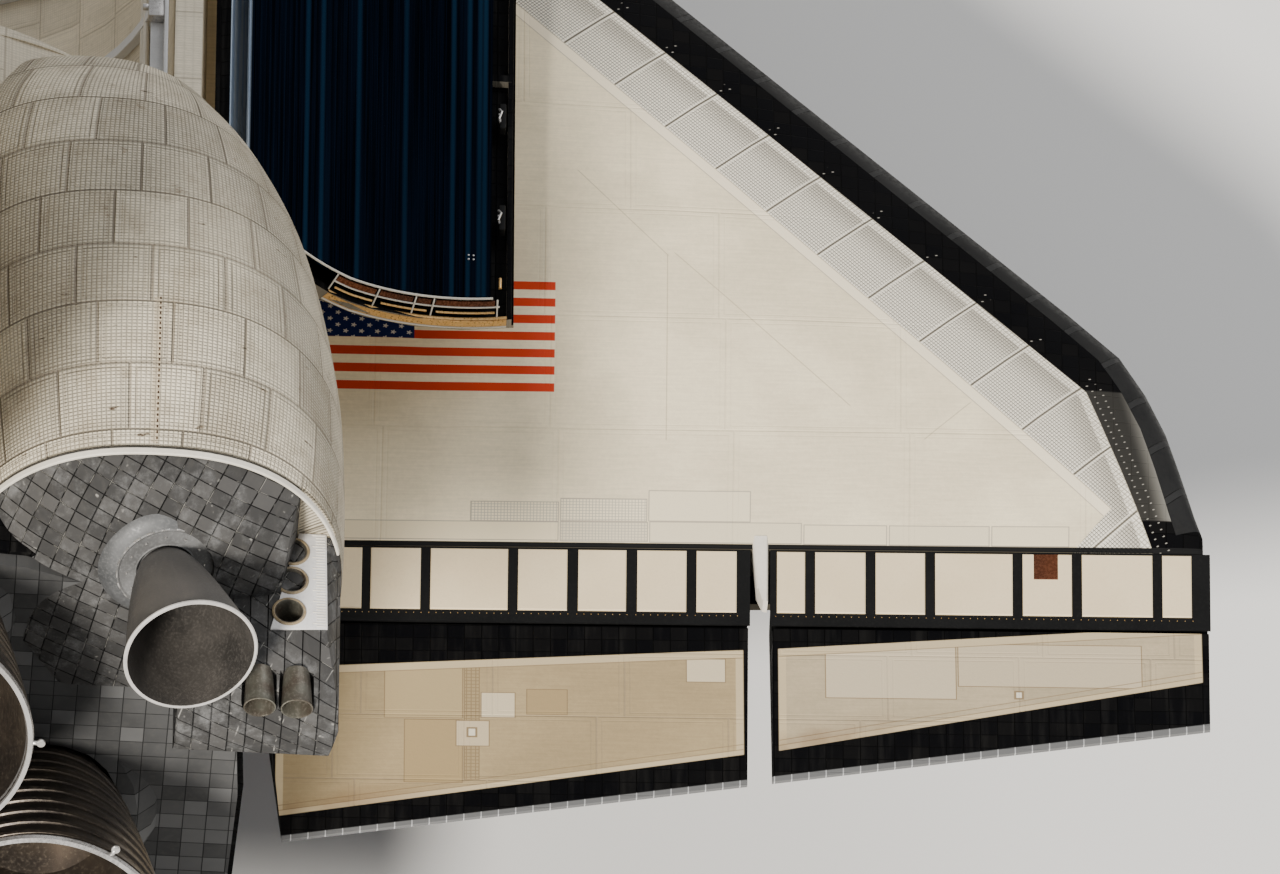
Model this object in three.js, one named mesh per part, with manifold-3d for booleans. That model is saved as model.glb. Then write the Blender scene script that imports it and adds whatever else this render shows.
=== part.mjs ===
// A winged space shuttle orbiter, parked on its landing gear with its payload bay doors open.
// Row frame: millimetres, +X aft, +Y starboard, +Z up, origin on the ground below the middle of its box.
// The airframe is drawn in inches in its own stations (x aft, y starboard, z up) and then set nose down.
import * as THREE from "three";
import { mergeVertices } from "three/addons/utils/BufferGeometryUtils.js";
import Module from "manifold-3d";

const wasm = await Module();
wasm.setup();

// Driving dimensions, in inches and degrees
const inch = 25.4;
const parkedPitch = 3.5;
const seam = 0.04;
const running = 0.3;

const ground = { x: 1172, z: 163 };
const middleX = 932.34;

const bay = { front: 582, rear: 1307, radius: 93, axisZ: 400, sillZ: 419 };
const cabin = { front: 408, rear: 571, skin: 6, deckLow: 400, deckHigh: 405, floor: 320 };
const door = { outer: 106, skin: 5, hingeY: 105.7, hingeZ: 420, openAngle: 175.5, end: 1.2 };
const radiator = { outer: 99.5, thickness: 2.5, fromAngle: 17, toAngle: 85 };
const hatch = { x: 470, z: 362, radius: 19.6, hole: 20, skin: 3 };

const wing = { coveX: 1363.6, lipX: 1376, hingeX: 1387 };
const elevonRest = 8;
const panelShare = 0.46;
const elevonSpans = [
  { name: "inboard", fromY: 131, toY: 303.4, fromTrailY: 142 },
  { name: "outboard", fromY: 312, toY: 464.8, fromTrailY: 312 },
];

const fin = { rootZ: 500, tipZ: 815.7, rootLead: 1277.9, rootChord: 268.5, tipChord: 108.5, sweep: 45 };
const rudder = { bottomZ: 617, topZ: 815.7, tipChord: 50.8, hingeSweep: 34.83, openAngle: 49.3, gap: 2.4 };
const flap = { hingeX: 1538.4, hingeZ: 289.5, chord: 75, half: 123, nose: 8.6, cove: 299.5 };

const mainGear = {
  x: 1172,
  y: 136,
  radius: 22.25,
  width: 15.5,
  spacing: 13.2,
  well: [1046, 1200, 109, 170],
};
const noseGear = { x: 377, radius: 16, width: 8.8, spacing: 9.6, well: [300, 391, 16.5, 334] };

// Fuselage stations: lowest and highest point, height and half of the greatest width, and the two
// powers that square off the curve below and above it
const fuselageStations = [
  { x: 237.0, bottom: 337, waist: 340, top: 344, half: 4, low: 2, high: 2 },
  { x: 240.0, bottom: 328, waist: 340, top: 354, half: 14, low: 2, high: 2 },
  { x: 247.0, bottom: 318, waist: 341, top: 365, half: 26, low: 2, high: 2 },
  { x: 262.0, bottom: 307.5, waist: 343, top: 380, half: 38.5, low: 2.1, high: 2 },
  { x: 290.0, bottom: 298.5, waist: 346, top: 399, half: 53, low: 2.4, high: 2 },
  { x: 325.0, bottom: 293.2, waist: 350, top: 416, half: 65, low: 2.8, high: 2 },
  { x: 370.0, bottom: 289.3, waist: 356, top: 433, half: 77, low: 3.2, high: 2 },
  { x: 410.0, bottom: 287, waist: 364, top: 446.5, half: 85.5, low: 3.8, high: 2.05 },
  { x: 424.0, bottom: 286.2, waist: 367, top: 458, half: 88.2, low: 4, high: 2.1 },
  { x: 452.0, bottom: 284.5, waist: 374, top: 484, half: 92.8, low: 4.4, high: 2.1 },
  { x: 472.0, bottom: 283.4, waist: 380, top: 494.5, half: 95.8, low: 4.8, high: 2.1 },
  { x: 505.0, bottom: 281.6, waist: 388, top: 501.5, half: 99.6, low: 5.4, high: 2.05 },
  { x: 545.0, bottom: 279.4, waist: 396, top: 504.8, half: 102.8, low: 6, high: 2 },
  { x: 582.0, bottom: 277.6, waist: 400, top: 506, half: 104.8, low: 6.5, high: 2 },
  { x: 800.0, bottom: 271, waist: 400, top: 506, half: 105, low: 7, high: 2 },
  { x: 1000.0, bottom: 268, waist: 400, top: 506, half: 105, low: 7, high: 2 },
  { x: 1307.0, bottom: 269, waist: 400, top: 506, half: 105, low: 7, high: 2 },
  { x: 1400.0, bottom: 273, waist: 396, top: 505, half: 112, low: 7, high: 2.1 },
  { x: 1470.0, bottom: 277, waist: 385, top: 503, half: 119, low: 7, high: 2.3 },
  { x: 1528.0, bottom: 281, waist: 372, top: 500, half: 124, low: 7, high: 2.6 },
];

// Wing stations: leading edge, highest and lowest run of the section, all measured at one y
const wingStations = [
  { y: 106, leadX: 506, leadZ: 288.5, crestX: 1050, crestZ: 327, bellyX: 760, bellyZ: 271.5 },
  { y: 146, leadX: 759, leadZ: 292.5, crestX: 1090, crestZ: 322, bellyX: 930, bellyZ: 271.2 },
  { y: 188, leadX: 1024.1, leadZ: 297.4, crestX: 1180, crestZ: 315.5, bellyX: 1130, bellyZ: 273.2 },
  { y: 300, leadX: 1136.1, leadZ: 301.8, crestX: 1236, crestZ: 317, bellyX: 1206, bellyZ: 283.5 },
  { y: 418, leadX: 1254.1, leadZ: 306.5, crestX: 1318, crestZ: 317.5, bellyX: 1300, bellyZ: 295 },
  { y: 435, leadX: 1272.1, leadZ: 307.3, crestX: 1330, crestZ: 317.3, bellyX: 1318, bellyZ: 296.8 },
  { y: 444, leadX: 1289, leadZ: 307.8, crestX: 1338, crestZ: 317.1, bellyX: 1329, bellyZ: 298 },
  { y: 451, leadX: 1307, leadZ: 308.4, crestX: 1345, crestZ: 316.6, bellyX: 1339.5, bellyZ: 299.4 },
  { y: 456, leadX: 1326, leadZ: 309, crestX: 1350, crestZ: 316, bellyX: 1346, bellyZ: 300.5 },
  { y: 460.5, leadX: 1345, leadZ: 309.6, crestX: 1355.5, crestZ: 315.2, bellyX: 1352.5, bellyZ: 302.2 },
  { y: 463, leadX: 1354, leadZ: 310, crestX: 1359, crestZ: 314.4, bellyX: 1357, bellyZ: 304 },
];

const paint = {
  tile: { color: 0x23242a, roughness: 0.75, metalness: 0 },
  blanket: { color: 0xe4ded1, roughness: 0.9, metalness: 0 },
  carbon: { color: 0x4a4b4d, roughness: 0.6, metalness: 0 },
  liner: { color: 0xd9d9d4, roughness: 0.7, metalness: 0.1 },
  mirror: { color: 0x7d8fae, roughness: 0.15, metalness: 0.9 },
  panel: { color: 0xd8cfb9, roughness: 0.6, metalness: 0.1 },
  metal: { color: 0x8f8a84, roughness: 0.4, metalness: 0.9 },
  strut: { color: 0xb9bcbf, roughness: 0.4, metalness: 0.7 },
  rubber: { color: 0x1d1d1f, roughness: 0.85, metalness: 0 },
  glass: { color: 0x1b2430, roughness: 0.05, metalness: 0 },
  fitting: { color: 0x6d7278, roughness: 0.6, metalness: 0.2 },
};

const radians = THREE.MathUtils.degToRad;
const point = (x, y, z) => new THREE.Vector3(x, y, z);
const mix = THREE.MathUtils.lerp;

// Geometry helpers

function newell(ring) {
  const normal = point(0, 0, 0);
  ring.forEach((p, i) => normal.add(p.clone().cross(ring[(i + 1) % ring.length])));
  return normal;
}

function centre(ring) {
  return ring.reduce((sum, p) => sum.add(p), point(0, 0, 0)).divideScalar(ring.length);
}

// A cap over a flat ring, as triangles of ring indices that face along the outward direction.
function capTriangles(ring, outward) {
  const n = newell(ring);
  const axes = ["x", "y", "z"];
  const across = axes.reduce((best, a) => (Math.abs(n[a]) > Math.abs(n[best]) ? a : best));
  const [u, v] = axes.filter((a) => a !== across);
  const flat = ring.map((p) => new THREE.Vector2(p[u], p[v]));
  return THREE.ShapeUtils.triangulateShape(flat, []).map(([a, b, c]) => {
    const face = ring[b].clone().sub(ring[a]).cross(ring[c].clone().sub(ring[a]));
    return face.dot(outward) > 0 ? [a, b, c] : [a, c, b];
  });
}

// A closed skin through rings of equally many points, with a flat cap on the first and the last.
function loft(rings) {
  const count = rings[0].length;
  const last = (rings.length - 1) * count;
  const along = centre(rings[1]).sub(centre(rings[0]));
  const outwardOrder = newell(rings[0]).dot(along) > 0;
  const index = [];
  const quad = (a, b, c, d) => (outwardOrder ? index.push(a, b, c, b, d, c) : index.push(a, c, b, b, c, d));
  for (let r = 0; r + 1 < rings.length; r++)
    for (let i = 0; i < count; i++) {
      const a = r * count + i;
      const b = r * count + ((i + 1) % count);
      quad(a, b, a + count, b + count);
    }
  capTriangles(rings[0], along.clone().negate()).forEach((t) => index.push(...t));
  const end = centre(rings.at(-1)).sub(centre(rings.at(-2)));
  capTriangles(rings.at(-1), end).forEach((t) => index.push(...t.map((i) => i + last)));
  const geometry = new THREE.BufferGeometry();
  const values = rings.flat().flatMap((p) => [p.x, p.y, p.z]);
  geometry.setAttribute("position", new THREE.Float32BufferAttribute(values, 3));
  geometry.setIndex(index);
  return geometry;
}

function bare(geometry) {
  const copy = geometry.clone();
  copy.deleteAttribute("normal");
  copy.deleteAttribute("uv");
  return mergeVertices(copy, 1e-4);
}

function solidOf(geometry) {
  const merged = bare(geometry);
  const vertProperties = new Float32Array(merged.attributes.position.array);
  const triVerts = new Uint32Array(merged.index.array);
  return new wasm.Manifold(new wasm.Mesh({ numProp: 3, vertProperties, triVerts }));
}

function geometryOf(solid) {
  const mesh = solid.getMesh();
  const geometry = new THREE.BufferGeometry();
  geometry.setAttribute("position", new THREE.BufferAttribute(new Float32Array(mesh.vertProperties), 3));
  geometry.setIndex(new THREE.BufferAttribute(new Uint32Array(mesh.triVerts), 1));
  return geometry;
}

const combine = (method) => (first, ...others) =>
  geometryOf(others.reduce((solid, next) => solid[method](solidOf(next)), solidOf(first)));
const join = combine("add");
const cut = combine("subtract");
const common = combine("intersect");

function flipped(geometry) {
  const copy = bare(geometry);
  copy.scale(1, -1, 1);
  const order = copy.index.array;
  for (let i = 0; i < order.length; i += 3) [order[i + 1], order[i + 2]] = [order[i + 2], order[i + 1]];
  return copy;
}

function box(x0, x1, y0, y1, z0, z1) {
  const shape = bare(new THREE.BoxGeometry(x1 - x0, y1 - y0, z1 - z0));
  return shape.translate((x0 + x1) / 2, (y0 + y1) / 2, (z0 + z1) / 2);
}

// A prism over an outline given as [x, y] pairs.
function prism(outline, z0, z1) {
  const shape = new THREE.Shape(outline.map(([x, y]) => new THREE.Vector2(x, y)));
  return bare(new THREE.ExtrudeGeometry(shape, { depth: z1 - z0, bevelEnabled: false })).translate(0, 0, z0);
}

function rod(from, to, radius, sides = 10) {
  const along = to.clone().sub(from);
  const turn = new THREE.Quaternion().setFromUnitVectors(point(0, 1, 0), along.clone().normalize());
  const shape = bare(new THREE.CylinderGeometry(radius, radius, along.length(), sides));
  return shape.applyQuaternion(turn).translate(...from.clone().add(to).divideScalar(2).toArray());
}

// A turned shape about the line from a base point along a direction; profile pairs are [radius, distance].
function turned(profile, base, direction, sides = 24) {
  const outline = profile.map(([radius, along]) => new THREE.Vector2(radius, along));
  const turn = new THREE.Quaternion().setFromUnitVectors(point(0, 1, 0), direction.clone().normalize());
  const shape = bare(new THREE.LatheGeometry(outline, sides)).applyQuaternion(turn);
  const solid = shape.translate(base.x, base.y, base.z);
  return solidOf(solid).volume() < 0 ? reversed(solid) : solid;
}

function reversed(geometry) {
  const copy = bare(geometry);
  const order = copy.index.array;
  for (let i = 0; i < order.length; i += 3) [order[i + 1], order[i + 2]] = [order[i + 2], order[i + 1]];
  return copy;
}

// A geometry turned by an angle about the line through a point along an axis.
function swung(geometry, through, axis, angle) {
  const turn = new THREE.Quaternion().setFromAxisAngle(axis.clone().normalize(), radians(angle));
  return geometry
    .translate(-through.x, -through.y, -through.z)
    .applyQuaternion(turn)
    .translate(through.x, through.y, through.z);
}

// Fuselage sections

const lowSteps = 6;
const highSteps = 6;

function halfCurve(station, inset) {
  const half = station.half - inset;
  const rise = station.top - inset - station.waist;
  const drop = station.waist - station.bottom - inset;
  const curve = [];
  for (let i = 0; i <= lowSteps; i++) {
    const t = (Math.PI / 2) * (1 - i / lowSteps);
    const y = half * Math.cos(t) ** (2 / station.low);
    curve.push([i === 0 ? 0 : y, station.waist - drop * Math.sin(t) ** (2 / station.low)]);
  }
  for (let i = 1; i <= highSteps; i++) {
    const t = (Math.PI / 2) * (i / highSteps);
    const y = half * Math.cos(t) ** (2 / station.high);
    curve.push([i === highSteps ? 0 : y, station.waist + rise * Math.sin(t) ** (2 / station.high)]);
  }
  return curve;
}

function fuselageRing(station, inset = 0) {
  const curve = halfCurve(station, inset);
  const starboard = curve.map(([y, z]) => point(station.x, y, z));
  const port = curve.slice(1, -1).reverse();
  return starboard.concat(port.map(([y, z]) => point(station.x, -y, z)));
}

function stationAt(x) {
  const next = Math.max(1, fuselageStations.findIndex((s) => s.x >= x));
  const [a, b] = [fuselageStations[next - 1], fuselageStations[next]];
  const share = (x - a.x) / (b.x - a.x);
  const between = Object.keys(a).map((key) => [key, mix(a[key], b[key], share)]);
  return Object.fromEntries(between);
}

function fuselage(fromX, toX, inset = 0) {
  const inner = fuselageStations.filter((s) => s.x > fromX + 0.5 && s.x < toX - 0.5);
  const stations = [stationAt(fromX), ...inner, stationAt(toX)];
  return loft(stations.map((s) => fuselageRing(s, inset)));
}

const noseCapEnd = 262;
const tailEnd = fuselageStations.at(-1).x;

function noseCap() {
  return fuselage(fuselageStations[0].x, noseCapEnd - seam);
}

// Windows: a rounded opening square to the skin at a station, at an angle up from the waist.
const windscreens = [
  { x: 434, angle: 77, width: 30, height: 27 },
  { x: 438, angle: 52, width: 30, height: 26 },
  { x: 446, angle: 32, width: 33, height: 24 },
];
const overheads = [{ x: 520, angle: 76, width: 22, height: 20 }];

function windowCutter({ x, angle, width, height }, depth = 14) {
  const place = (at, turn) => {
    const s = stationAt(at);
    const y = s.half * Math.cos(radians(turn)) ** (2 / s.high);
    return point(at, y, s.waist + (s.top - s.waist) * Math.sin(radians(turn)) ** (2 / s.high));
  };
  const middle = place(x, angle);
  const along = place(x + 6, angle).sub(place(x - 6, angle)).normalize();
  const around = place(x, angle + 3).sub(place(x, angle - 3)).normalize();
  const outward = along.clone().cross(around).normalize();
  const upright = outward.clone().cross(along).normalize();
  const corner = 4;
  const outline = [];
  for (const [sx, sy, from] of [[1, 1, 0], [-1, 1, 90], [-1, -1, 180], [1, -1, 270]])
    for (const turn of [15, 75]) {
      const a = radians(from + turn);
      const u = sx * (width / 2 - corner) + corner * Math.cos(a);
      outline.push([u, sy * (height / 2 - corner) + corner * Math.sin(a)]);
    }
  const shape = prism(outline, -depth / 2, depth / 2);
  const frame = new THREE.Matrix4().makeBasis(along, upright, outward).setPosition(middle);
  return shape.applyMatrix4(frame);
}

function bothSides(makers) {
  return makers.flatMap((geometry) => [geometry, flipped(geometry)]);
}

const screenZone = { x0: 415, x1: 474, z0: 398 };
const overheadZone = { x0: 504, x1: 538, z0: 478 };

function glazing(zone, grow) {
  const outer = fuselage(zone.x0 - 4, zone.x1 + 4, 1 - grow);
  const inner = fuselage(zone.x0 - 5, zone.x1 + 5, 2.6 + grow);
  const region = box(zone.x0 - grow, zone.x1 + grow, -120, 120, zone.z0 - grow, 520);
  return common(cut(outer, inner), region);
}

function hatchPlug(outerRadius, innerRadius, depthLimit) {
  const profile = [[0, 0], [innerRadius, 0], [outerRadius, depthLimit + 12], [0, depthLimit + 12]];
  const s = stationAt(hatch.x);
  return turned(profile, point(hatch.x, -(s.half - depthLimit), hatch.z), point(0, -1, 0), 28);
}

function sideHatch() {
  const shell = cut(fuselage(430, 512), fuselage(429, 513, hatch.skin));
  return common(shell, hatchPlug(hatch.radius, hatch.radius - 0.8, hatch.skin + 3));
}

function forwardFuselage() {
  const shell = fuselage(noseCapEnd, bay.front - seam);
  const room = fuselage(cabin.front, cabin.rear, cabin.skin);
  const flightDeck = common(room, box(cabin.front - 1, cabin.rear + 1, -120, 120, cabin.deckHigh, 520));
  const middeck = common(room, box(cabin.front - 1, cabin.rear + 1, -120, 120, cabin.floor, cabin.deckLow));
  const ladderway = box(530, 558, 24, 52, cabin.deckLow - 1, cabin.deckHigh + 1);
  const aftPane = box(cabin.rear - 1, bay.front + 1, 14, 27, 458, 470);
  const [wellFront, wellRear, wellHalf, wellTop] = noseGear.well;
  const well = box(wellFront, wellRear, -wellHalf, wellHalf, 250, wellTop);
  return cut(
    join(shell, tankPad(tankPads.forward)),
    join(flightDeck, ladderway, middeck),
    well,
    ...bothSides([...windscreens, ...overheads].map((w) => windowCutter(w))),
    ...bothSides([aftPane]),
    glazing(screenZone, seam),
    glazing(overheadZone, seam),
    hatchPlug(hatch.hole, hatch.hole, cabin.skin + 3),
  );
}

function flightDeck() {
  const { deckHigh } = cabin;
  const base = box(430, 520, -46, 46, deckHigh + seam, deckHigh + 2);
  const console = box(446, 500, -9, 9, deckHigh + 1, deckHigh + 20);
  const panel = prism([[0, 0], [10, 0], [6, 28], [-4, 30]], -42, 42);
  panel.rotateX(Math.PI / 2).translate(438, 0, deckHigh + 1);
  const seats = [-24, 24].flatMap((y) => [
    box(470, 490, y - 9, y + 9, deckHigh + 1, deckHigh + 18),
    box(486, 492, y - 9, y + 9, deckHigh + 10, deckHigh + 44),
    box(485, 492, y - 5, y + 5, deckHigh + 43, deckHigh + 54),
  ]);
  return join(base, console, panel, ...seats);
}

function midFuselage() {
  const body = fuselage(bay.front, bay.rear - seam);
  const hollow = rod(point(bay.front - 5, 0, bay.axisZ), point(bay.rear + 5, 0, bay.axisZ), bay.radius, 36);
  const above = box(bay.front - 5, bay.rear + 5, -bay.radius, bay.radius, bay.axisZ, 520);
  const lid = box(bay.front - 5, bay.rear + 5, -130, 130, bay.sillZ, 520);
  return cut(body, hollow, above, lid);
}

// Flat pads on the belly where the external tank's struts are bolted
function tankPad({ x, y, top, reach, size }) {
  return box(x - size / 2, x + size / 2, y - size / 2, y + size / 2, top - reach, top + 12);
}

const tankPads = {
  forward: { x: 398, y: 0, top: 287.8, reach: 1.6, size: 7 },
  starboard: { x: 1317, y: 95, top: 270.5, reach: 2.7, size: 13 },
};

function aftFuselage() {
  const pad = tankPad(tankPads.starboard);
  return join(fuselage(bay.rear, tailEnd - 2 * seam), pad, flipped(pad));
}

// Payload bay doors, drawn closed and swung open about their sill hinge.

function arcBand(outer, thickness, fromAngle, toAngle, x0, x1, steps = 8) {
  const band = [];
  for (const [radius, order] of [[outer, 0], [outer - thickness, 1]])
    for (let i = 0; i <= steps; i++) {
      const share = order ? 1 - i / steps : i / steps;
      const a = radians(mix(fromAngle, toAngle, share));
      band.push([radius * Math.cos(a), bay.axisZ + radius * Math.sin(a)]);
    }
  return loft([x0, x1].map((x) => band.map(([y, z]) => point(x, y, z))));
}

function openDoor(geometry) {
  return swung(geometry, point(0, door.hingeY, door.hingeZ), point(1, 0, 0), -door.openAngle);
}

function bayDoor() {
  const rootAngle = THREE.MathUtils.radToDeg(Math.asin((door.hingeZ + 0.1 - bay.axisZ) / door.outer));
  const crownAngle = 90 - THREE.MathUtils.radToDeg(running / door.outer);
  const [x0, x1] = [bay.front + door.end, bay.rear - door.end];
  const skin = arcBand(door.outer, 1.6, rootAngle, crownAngle, x0, x1);
  const ribs = [x0, 700, 818, 944.5, 1071, 1189, x1 - 3].map((x) =>
    arcBand(door.outer - 1, door.skin - 1, rootAngle + 0.6, crownAngle - 0.4, x, x + 3),
  );
  const rails = [rootAngle, crownAngle - 2].map((a) =>
    arcBand(door.outer - 1, door.skin - 1, a + 0.6, a + 1.6, x0, x1, 2),
  );
  return openDoor(join(skin, ...ribs, ...rails));
}

function bayRadiator() {
  const { outer, thickness, fromAngle, toAngle } = radiator;
  return openDoor(arcBand(outer, thickness, fromAngle, toAngle, bay.front + 10, bay.rear - 7));
}

// Wing sections

function aileronLine(y) {
  return 283.5 + 0.0705 * (y - 142);
}

function coveTop(y) {
  return 295.3 + 0.0604 * (y - 142);
}

function hingeDepth(y) {
  return 10.4 - 0.0104 * (y - 142);
}

function trailingEdge(y) {
  return 1505 - 0.1773 * (y - 115);
}

const noseSteps = 6;
const deckSteps = 5;

function wingRing(s) {
  const lipTop = aileronLine(s.y) - hingeDepth(s.y) + 3.2;
  const lipBottom = aileronLine(s.y) - hingeDepth(s.y) - 0.3;
  const ring = [];
  for (let i = 0; i < deckSteps; i++) {
    const share = i / deckSteps;
    const z = mix(coveTop(s.y), s.crestZ, 1 - (1 - share) ** 1.8);
    ring.push(point(mix(wing.coveX, s.crestX, share), s.y, z));
  }
  for (let i = 0; i <= noseSteps; i++) {
    const a = (Math.PI / 2) * (1 - i / noseSteps);
    const x = s.crestX - (s.crestX - s.leadX) * Math.cos(a);
    ring.push(point(x, s.y, s.leadZ + (s.crestZ - s.leadZ) * Math.sin(a)));
  }
  for (let i = 1; i <= noseSteps; i++) {
    const a = (Math.PI / 2) * (i / noseSteps);
    const x = s.bellyX - (s.bellyX - s.leadX) * Math.cos(a);
    ring.push(point(x, s.y, s.leadZ - (s.leadZ - s.bellyZ) * Math.sin(a)));
  }
  ring.push(point(wing.lipX, s.y, lipBottom), point(wing.lipX, s.y, lipTop));
  ring.push(point(wing.coveX, s.y, lipTop));
  return ring;
}

function wingBlank() {
  return loft(wingStations.map(wingRing));
}

// The carbon leading edge: a strip of even depth behind the edge, from the strake to the tip.
const edgeDepth = 10;

function edgeStrip(depth) {
  const edge = wingStations.slice(1).map((s) => [s.leadX, s.y]);
  const outside = edge.map(([x, y]) => [x - 30, y + 12]);
  const inside = edge.map(([x, y], i) => {
    const before = edge[Math.max(0, i - 1)];
    const after = edge[Math.min(edge.length - 1, i + 1)];
    const run = new THREE.Vector2(after[0] - before[0], after[1] - before[1]).normalize();
    const pull = i === edge.length - 1 ? depth - edgeDepth : 0;
    return [x + run.y * depth + pull, y - run.x * depth];
  });
  outside[0] = [edge[0][0] - 60, edge[0][1] - 12];
  outside.push([1400, 500], [1352, 500]);
  const tip = outside.slice(0, -2).concat([[1300, 500], [wing.coveX - 32 + depth, 500]]);
  return prism(inside.reverse().concat(tip), 250, 360);
}

function mainWing() {
  const [x0, x1, y0, y1] = mainGear.well;
  const well = box(x0, x1, y0, y1, 240, 307);
  return cut(wingBlank(), edgeStrip(edgeDepth), well);
}

function wingEdge() {
  return common(wingBlank(), edgeStrip(edgeDepth - 2 * seam));
}

// Elevons: nose arc below, a rebate for the seal panels above and straight skins to the trailing edge.

const rebate = { from: 11.2, to: 12 };
const neutralRise = Math.tan(radians(1.3));

function elevonSkin(y, back, chord) {
  const front = coveTop(y) - aileronLine(y);
  const rear = chord * neutralRise + 0.6;
  return mix(front, rear, (back + (wing.hingeX - wing.coveX)) / (chord + (wing.hingeX - wing.coveX)));
}

function elevonRing(y, trailY) {
  const chord = trailingEdge(trailY) - wing.hingeX;
  const depth = hingeDepth(y);
  const shelf = elevonSkin(y, 0, chord) - 4.8;
  const at = (back, height) => {
    const share = Math.max(0, back) / chord;
    const line = mix(aileronLine(y), aileronLine(trailY), share);
    return point(wing.hingeX + back, mix(y, trailY, share), line + height);
  };
  const ring = [at(0, shelf), at(rebate.from, shelf), at(rebate.to, elevonSkin(y, rebate.to, chord))];
  ring.push(at(chord, chord * neutralRise + 0.6), at(chord, chord * neutralRise - 0.6));
  for (const turn of [270, 250, 230, 210])
    ring.push(at(depth * Math.cos(radians(turn)), depth * Math.sin(radians(turn))));
  ring.push(at(-0.86 * depth, 0.12 * shelf), at(-0.5 * shelf, 0.8 * shelf));
  return ring;
}

const hingeLineAxis = point(0, 1, 0.0705);
const hingeLinePoint = point(wing.hingeX, 142, 283.5);
const panelAxis = point(0, 1, 0.0604);
const panelPoint = point(wing.coveX + 0.8, 142, 294.7);

function elevon({ fromY, toY, fromTrailY }) {
  const blank = loft([elevonRing(fromY, fromTrailY), elevonRing(toY, toY)]);
  return swung(blank, hingeLinePoint, hingeLineAxis, -elevonRest);
}

// A row of seal panels over the cove, carried on one edge strip.
function sealPanels({ fromY, toY }) {
  const reach = wing.hingeX - wing.coveX + 10;
  const slab = [fromY - 1, toY + 0.6].map((y) => {
    const chord = trailingEdge(y) - wing.hingeX;
    const top = (back) => aileronLine(y) + elevonSkin(y, back - (wing.hingeX - wing.coveX), chord);
    const at = (back, drop) => point(wing.coveX + back, y, top(back) - drop);
    return [at(0.4, 0), at(reach, 0), at(reach, 0.5), at(0.4, 0.9)];
  });
  return swung(loft(slab), panelPoint, panelAxis, -elevonRest * panelShare);
}

// Fin and rudder

function finLead(z) {
  return fin.rootLead + (z - fin.rootZ) * Math.tan(radians(fin.sweep));
}

function finTrail(z) {
  const rootTrail = fin.rootLead + fin.rootChord;
  const tipTrail = finLead(fin.tipZ) + fin.tipChord;
  return mix(rootTrail, tipTrail, (z - fin.rootZ) / (fin.tipZ - fin.rootZ));
}

function rudderHinge(z) {
  const top = finTrail(fin.tipZ) - rudder.tipChord;
  return top - (fin.tipZ - z) * Math.tan(radians(rudder.hingeSweep));
}

function finHalf(z) {
  return mix(13.5, 5.2, (z - fin.rootZ) / (fin.tipZ - fin.rootZ));
}

function rudderHalf(z) {
  return mix(7.6, 3.4, (z - rudder.bottomZ) / (rudder.topZ - rudder.bottomZ));
}

// The fixed fin: a wedge nose, widest two fifths back, ending in a blunt face.
function finRing(z, endX, endHalf) {
  const lead = finLead(z);
  const widest = mix(lead, finTrail(z), 0.42);
  const half = finHalf(z);
  const side = [[lead, 0.35], [lead + 4, 1.8], [mix(lead, widest, 0.45), half * 0.72]];
  side.push([widest, half], [endX, endHalf]);
  const starboard = side.map(([x, y]) => point(x, y, z));
  return starboard.concat(side.reverse().map(([x, y]) => point(x, -y, z)));
}

function verticalFin() {
  const coveBack = (z) => rudderHinge(z) - (rudderHalf(z) + running) / Math.cos(radians(rudder.hingeSweep));
  const upper = [rudder.bottomZ, rudder.topZ].map((z) => finRing(z, coveBack(z), rudderHalf(z)));
  const low = rudder.bottomZ - rudder.gap;
  const lower = [fin.rootZ - 1.6, low].map((z) => finRing(z, finTrail(z), 0.8));
  const collar = loft([finRing(low - 0.2, coveBack(low), rudderHalf(low)), upper[0]]);
  const foot = fuselage(1240, tailEnd, -seam);
  const doorway = box(1200, bay.rear + 1, -30, 30, 480, 560);
  const overEngine = box(tailEnd - 0.5, 1600, -30, 30, 480, 521);
  return cut(join(loft(lower), collar, loft(upper)), foot, doorway, overEngine);
}

const rudderAxis = point(Math.tan(radians(rudder.hingeSweep)), 0, 1).normalize();
const rudderPoint = point(rudderHinge(700), 0, 700);

function rudderSpine() {
  const back = Math.cos(radians(rudder.hingeSweep));
  const rings = [rudder.bottomZ, rudder.topZ].map((z) => {
    const radius = rudderHalf(z) - 0.2;
    return [90, 120, 150, 180, 210, 240, 270].map((turn) => {
      const a = radians(turn);
      return point(rudderHinge(z) + (radius * Math.cos(a)) / back, radius * Math.sin(a), z);
    });
  });
  return loft(rings);
}

function rudderPanel() {
  const slant = Math.cos(radians(rudder.hingeSweep));
  const mouth = radians(90 - rudder.openAngle - 4);
  const rings = [rudder.bottomZ, rudder.topZ].map((z) => {
    const half = rudderHalf(z);
    const hinge = rudderHinge(z);
    const start = (half * Math.cos(mouth)) / slant;
    const outer = mix(half, 0.8, start / (finTrail(z) - hinge));
    return [
      point(hinge + 0.6, 0.25, z),
      point(finTrail(z), 0.25, z),
      point(finTrail(z), 0.8, z),
      point(hinge + (outer / Math.tan(mouth)) / slant, outer, z),
    ];
  });
  return loft(rings);
}

// Tail end: heat shield, body flap, main engines and the two engine pods

const engines = [
  { name: "top", y: 0, x: 1445, z: 443, up: 16, out: 0, neck: 10.2, dome: 43 },
  { name: "starboard", y: 53, x: 1468.2, z: 342.6, up: 19.5, out: 0, neck: 11, dome: 44 },
  { name: "port", y: -53, x: 1468.2, z: 342.6, up: 19.5, out: 0, neck: 11, dome: 44 },
];
const bell = { throat: 43, exit: 164, wall: 1.6 };

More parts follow.
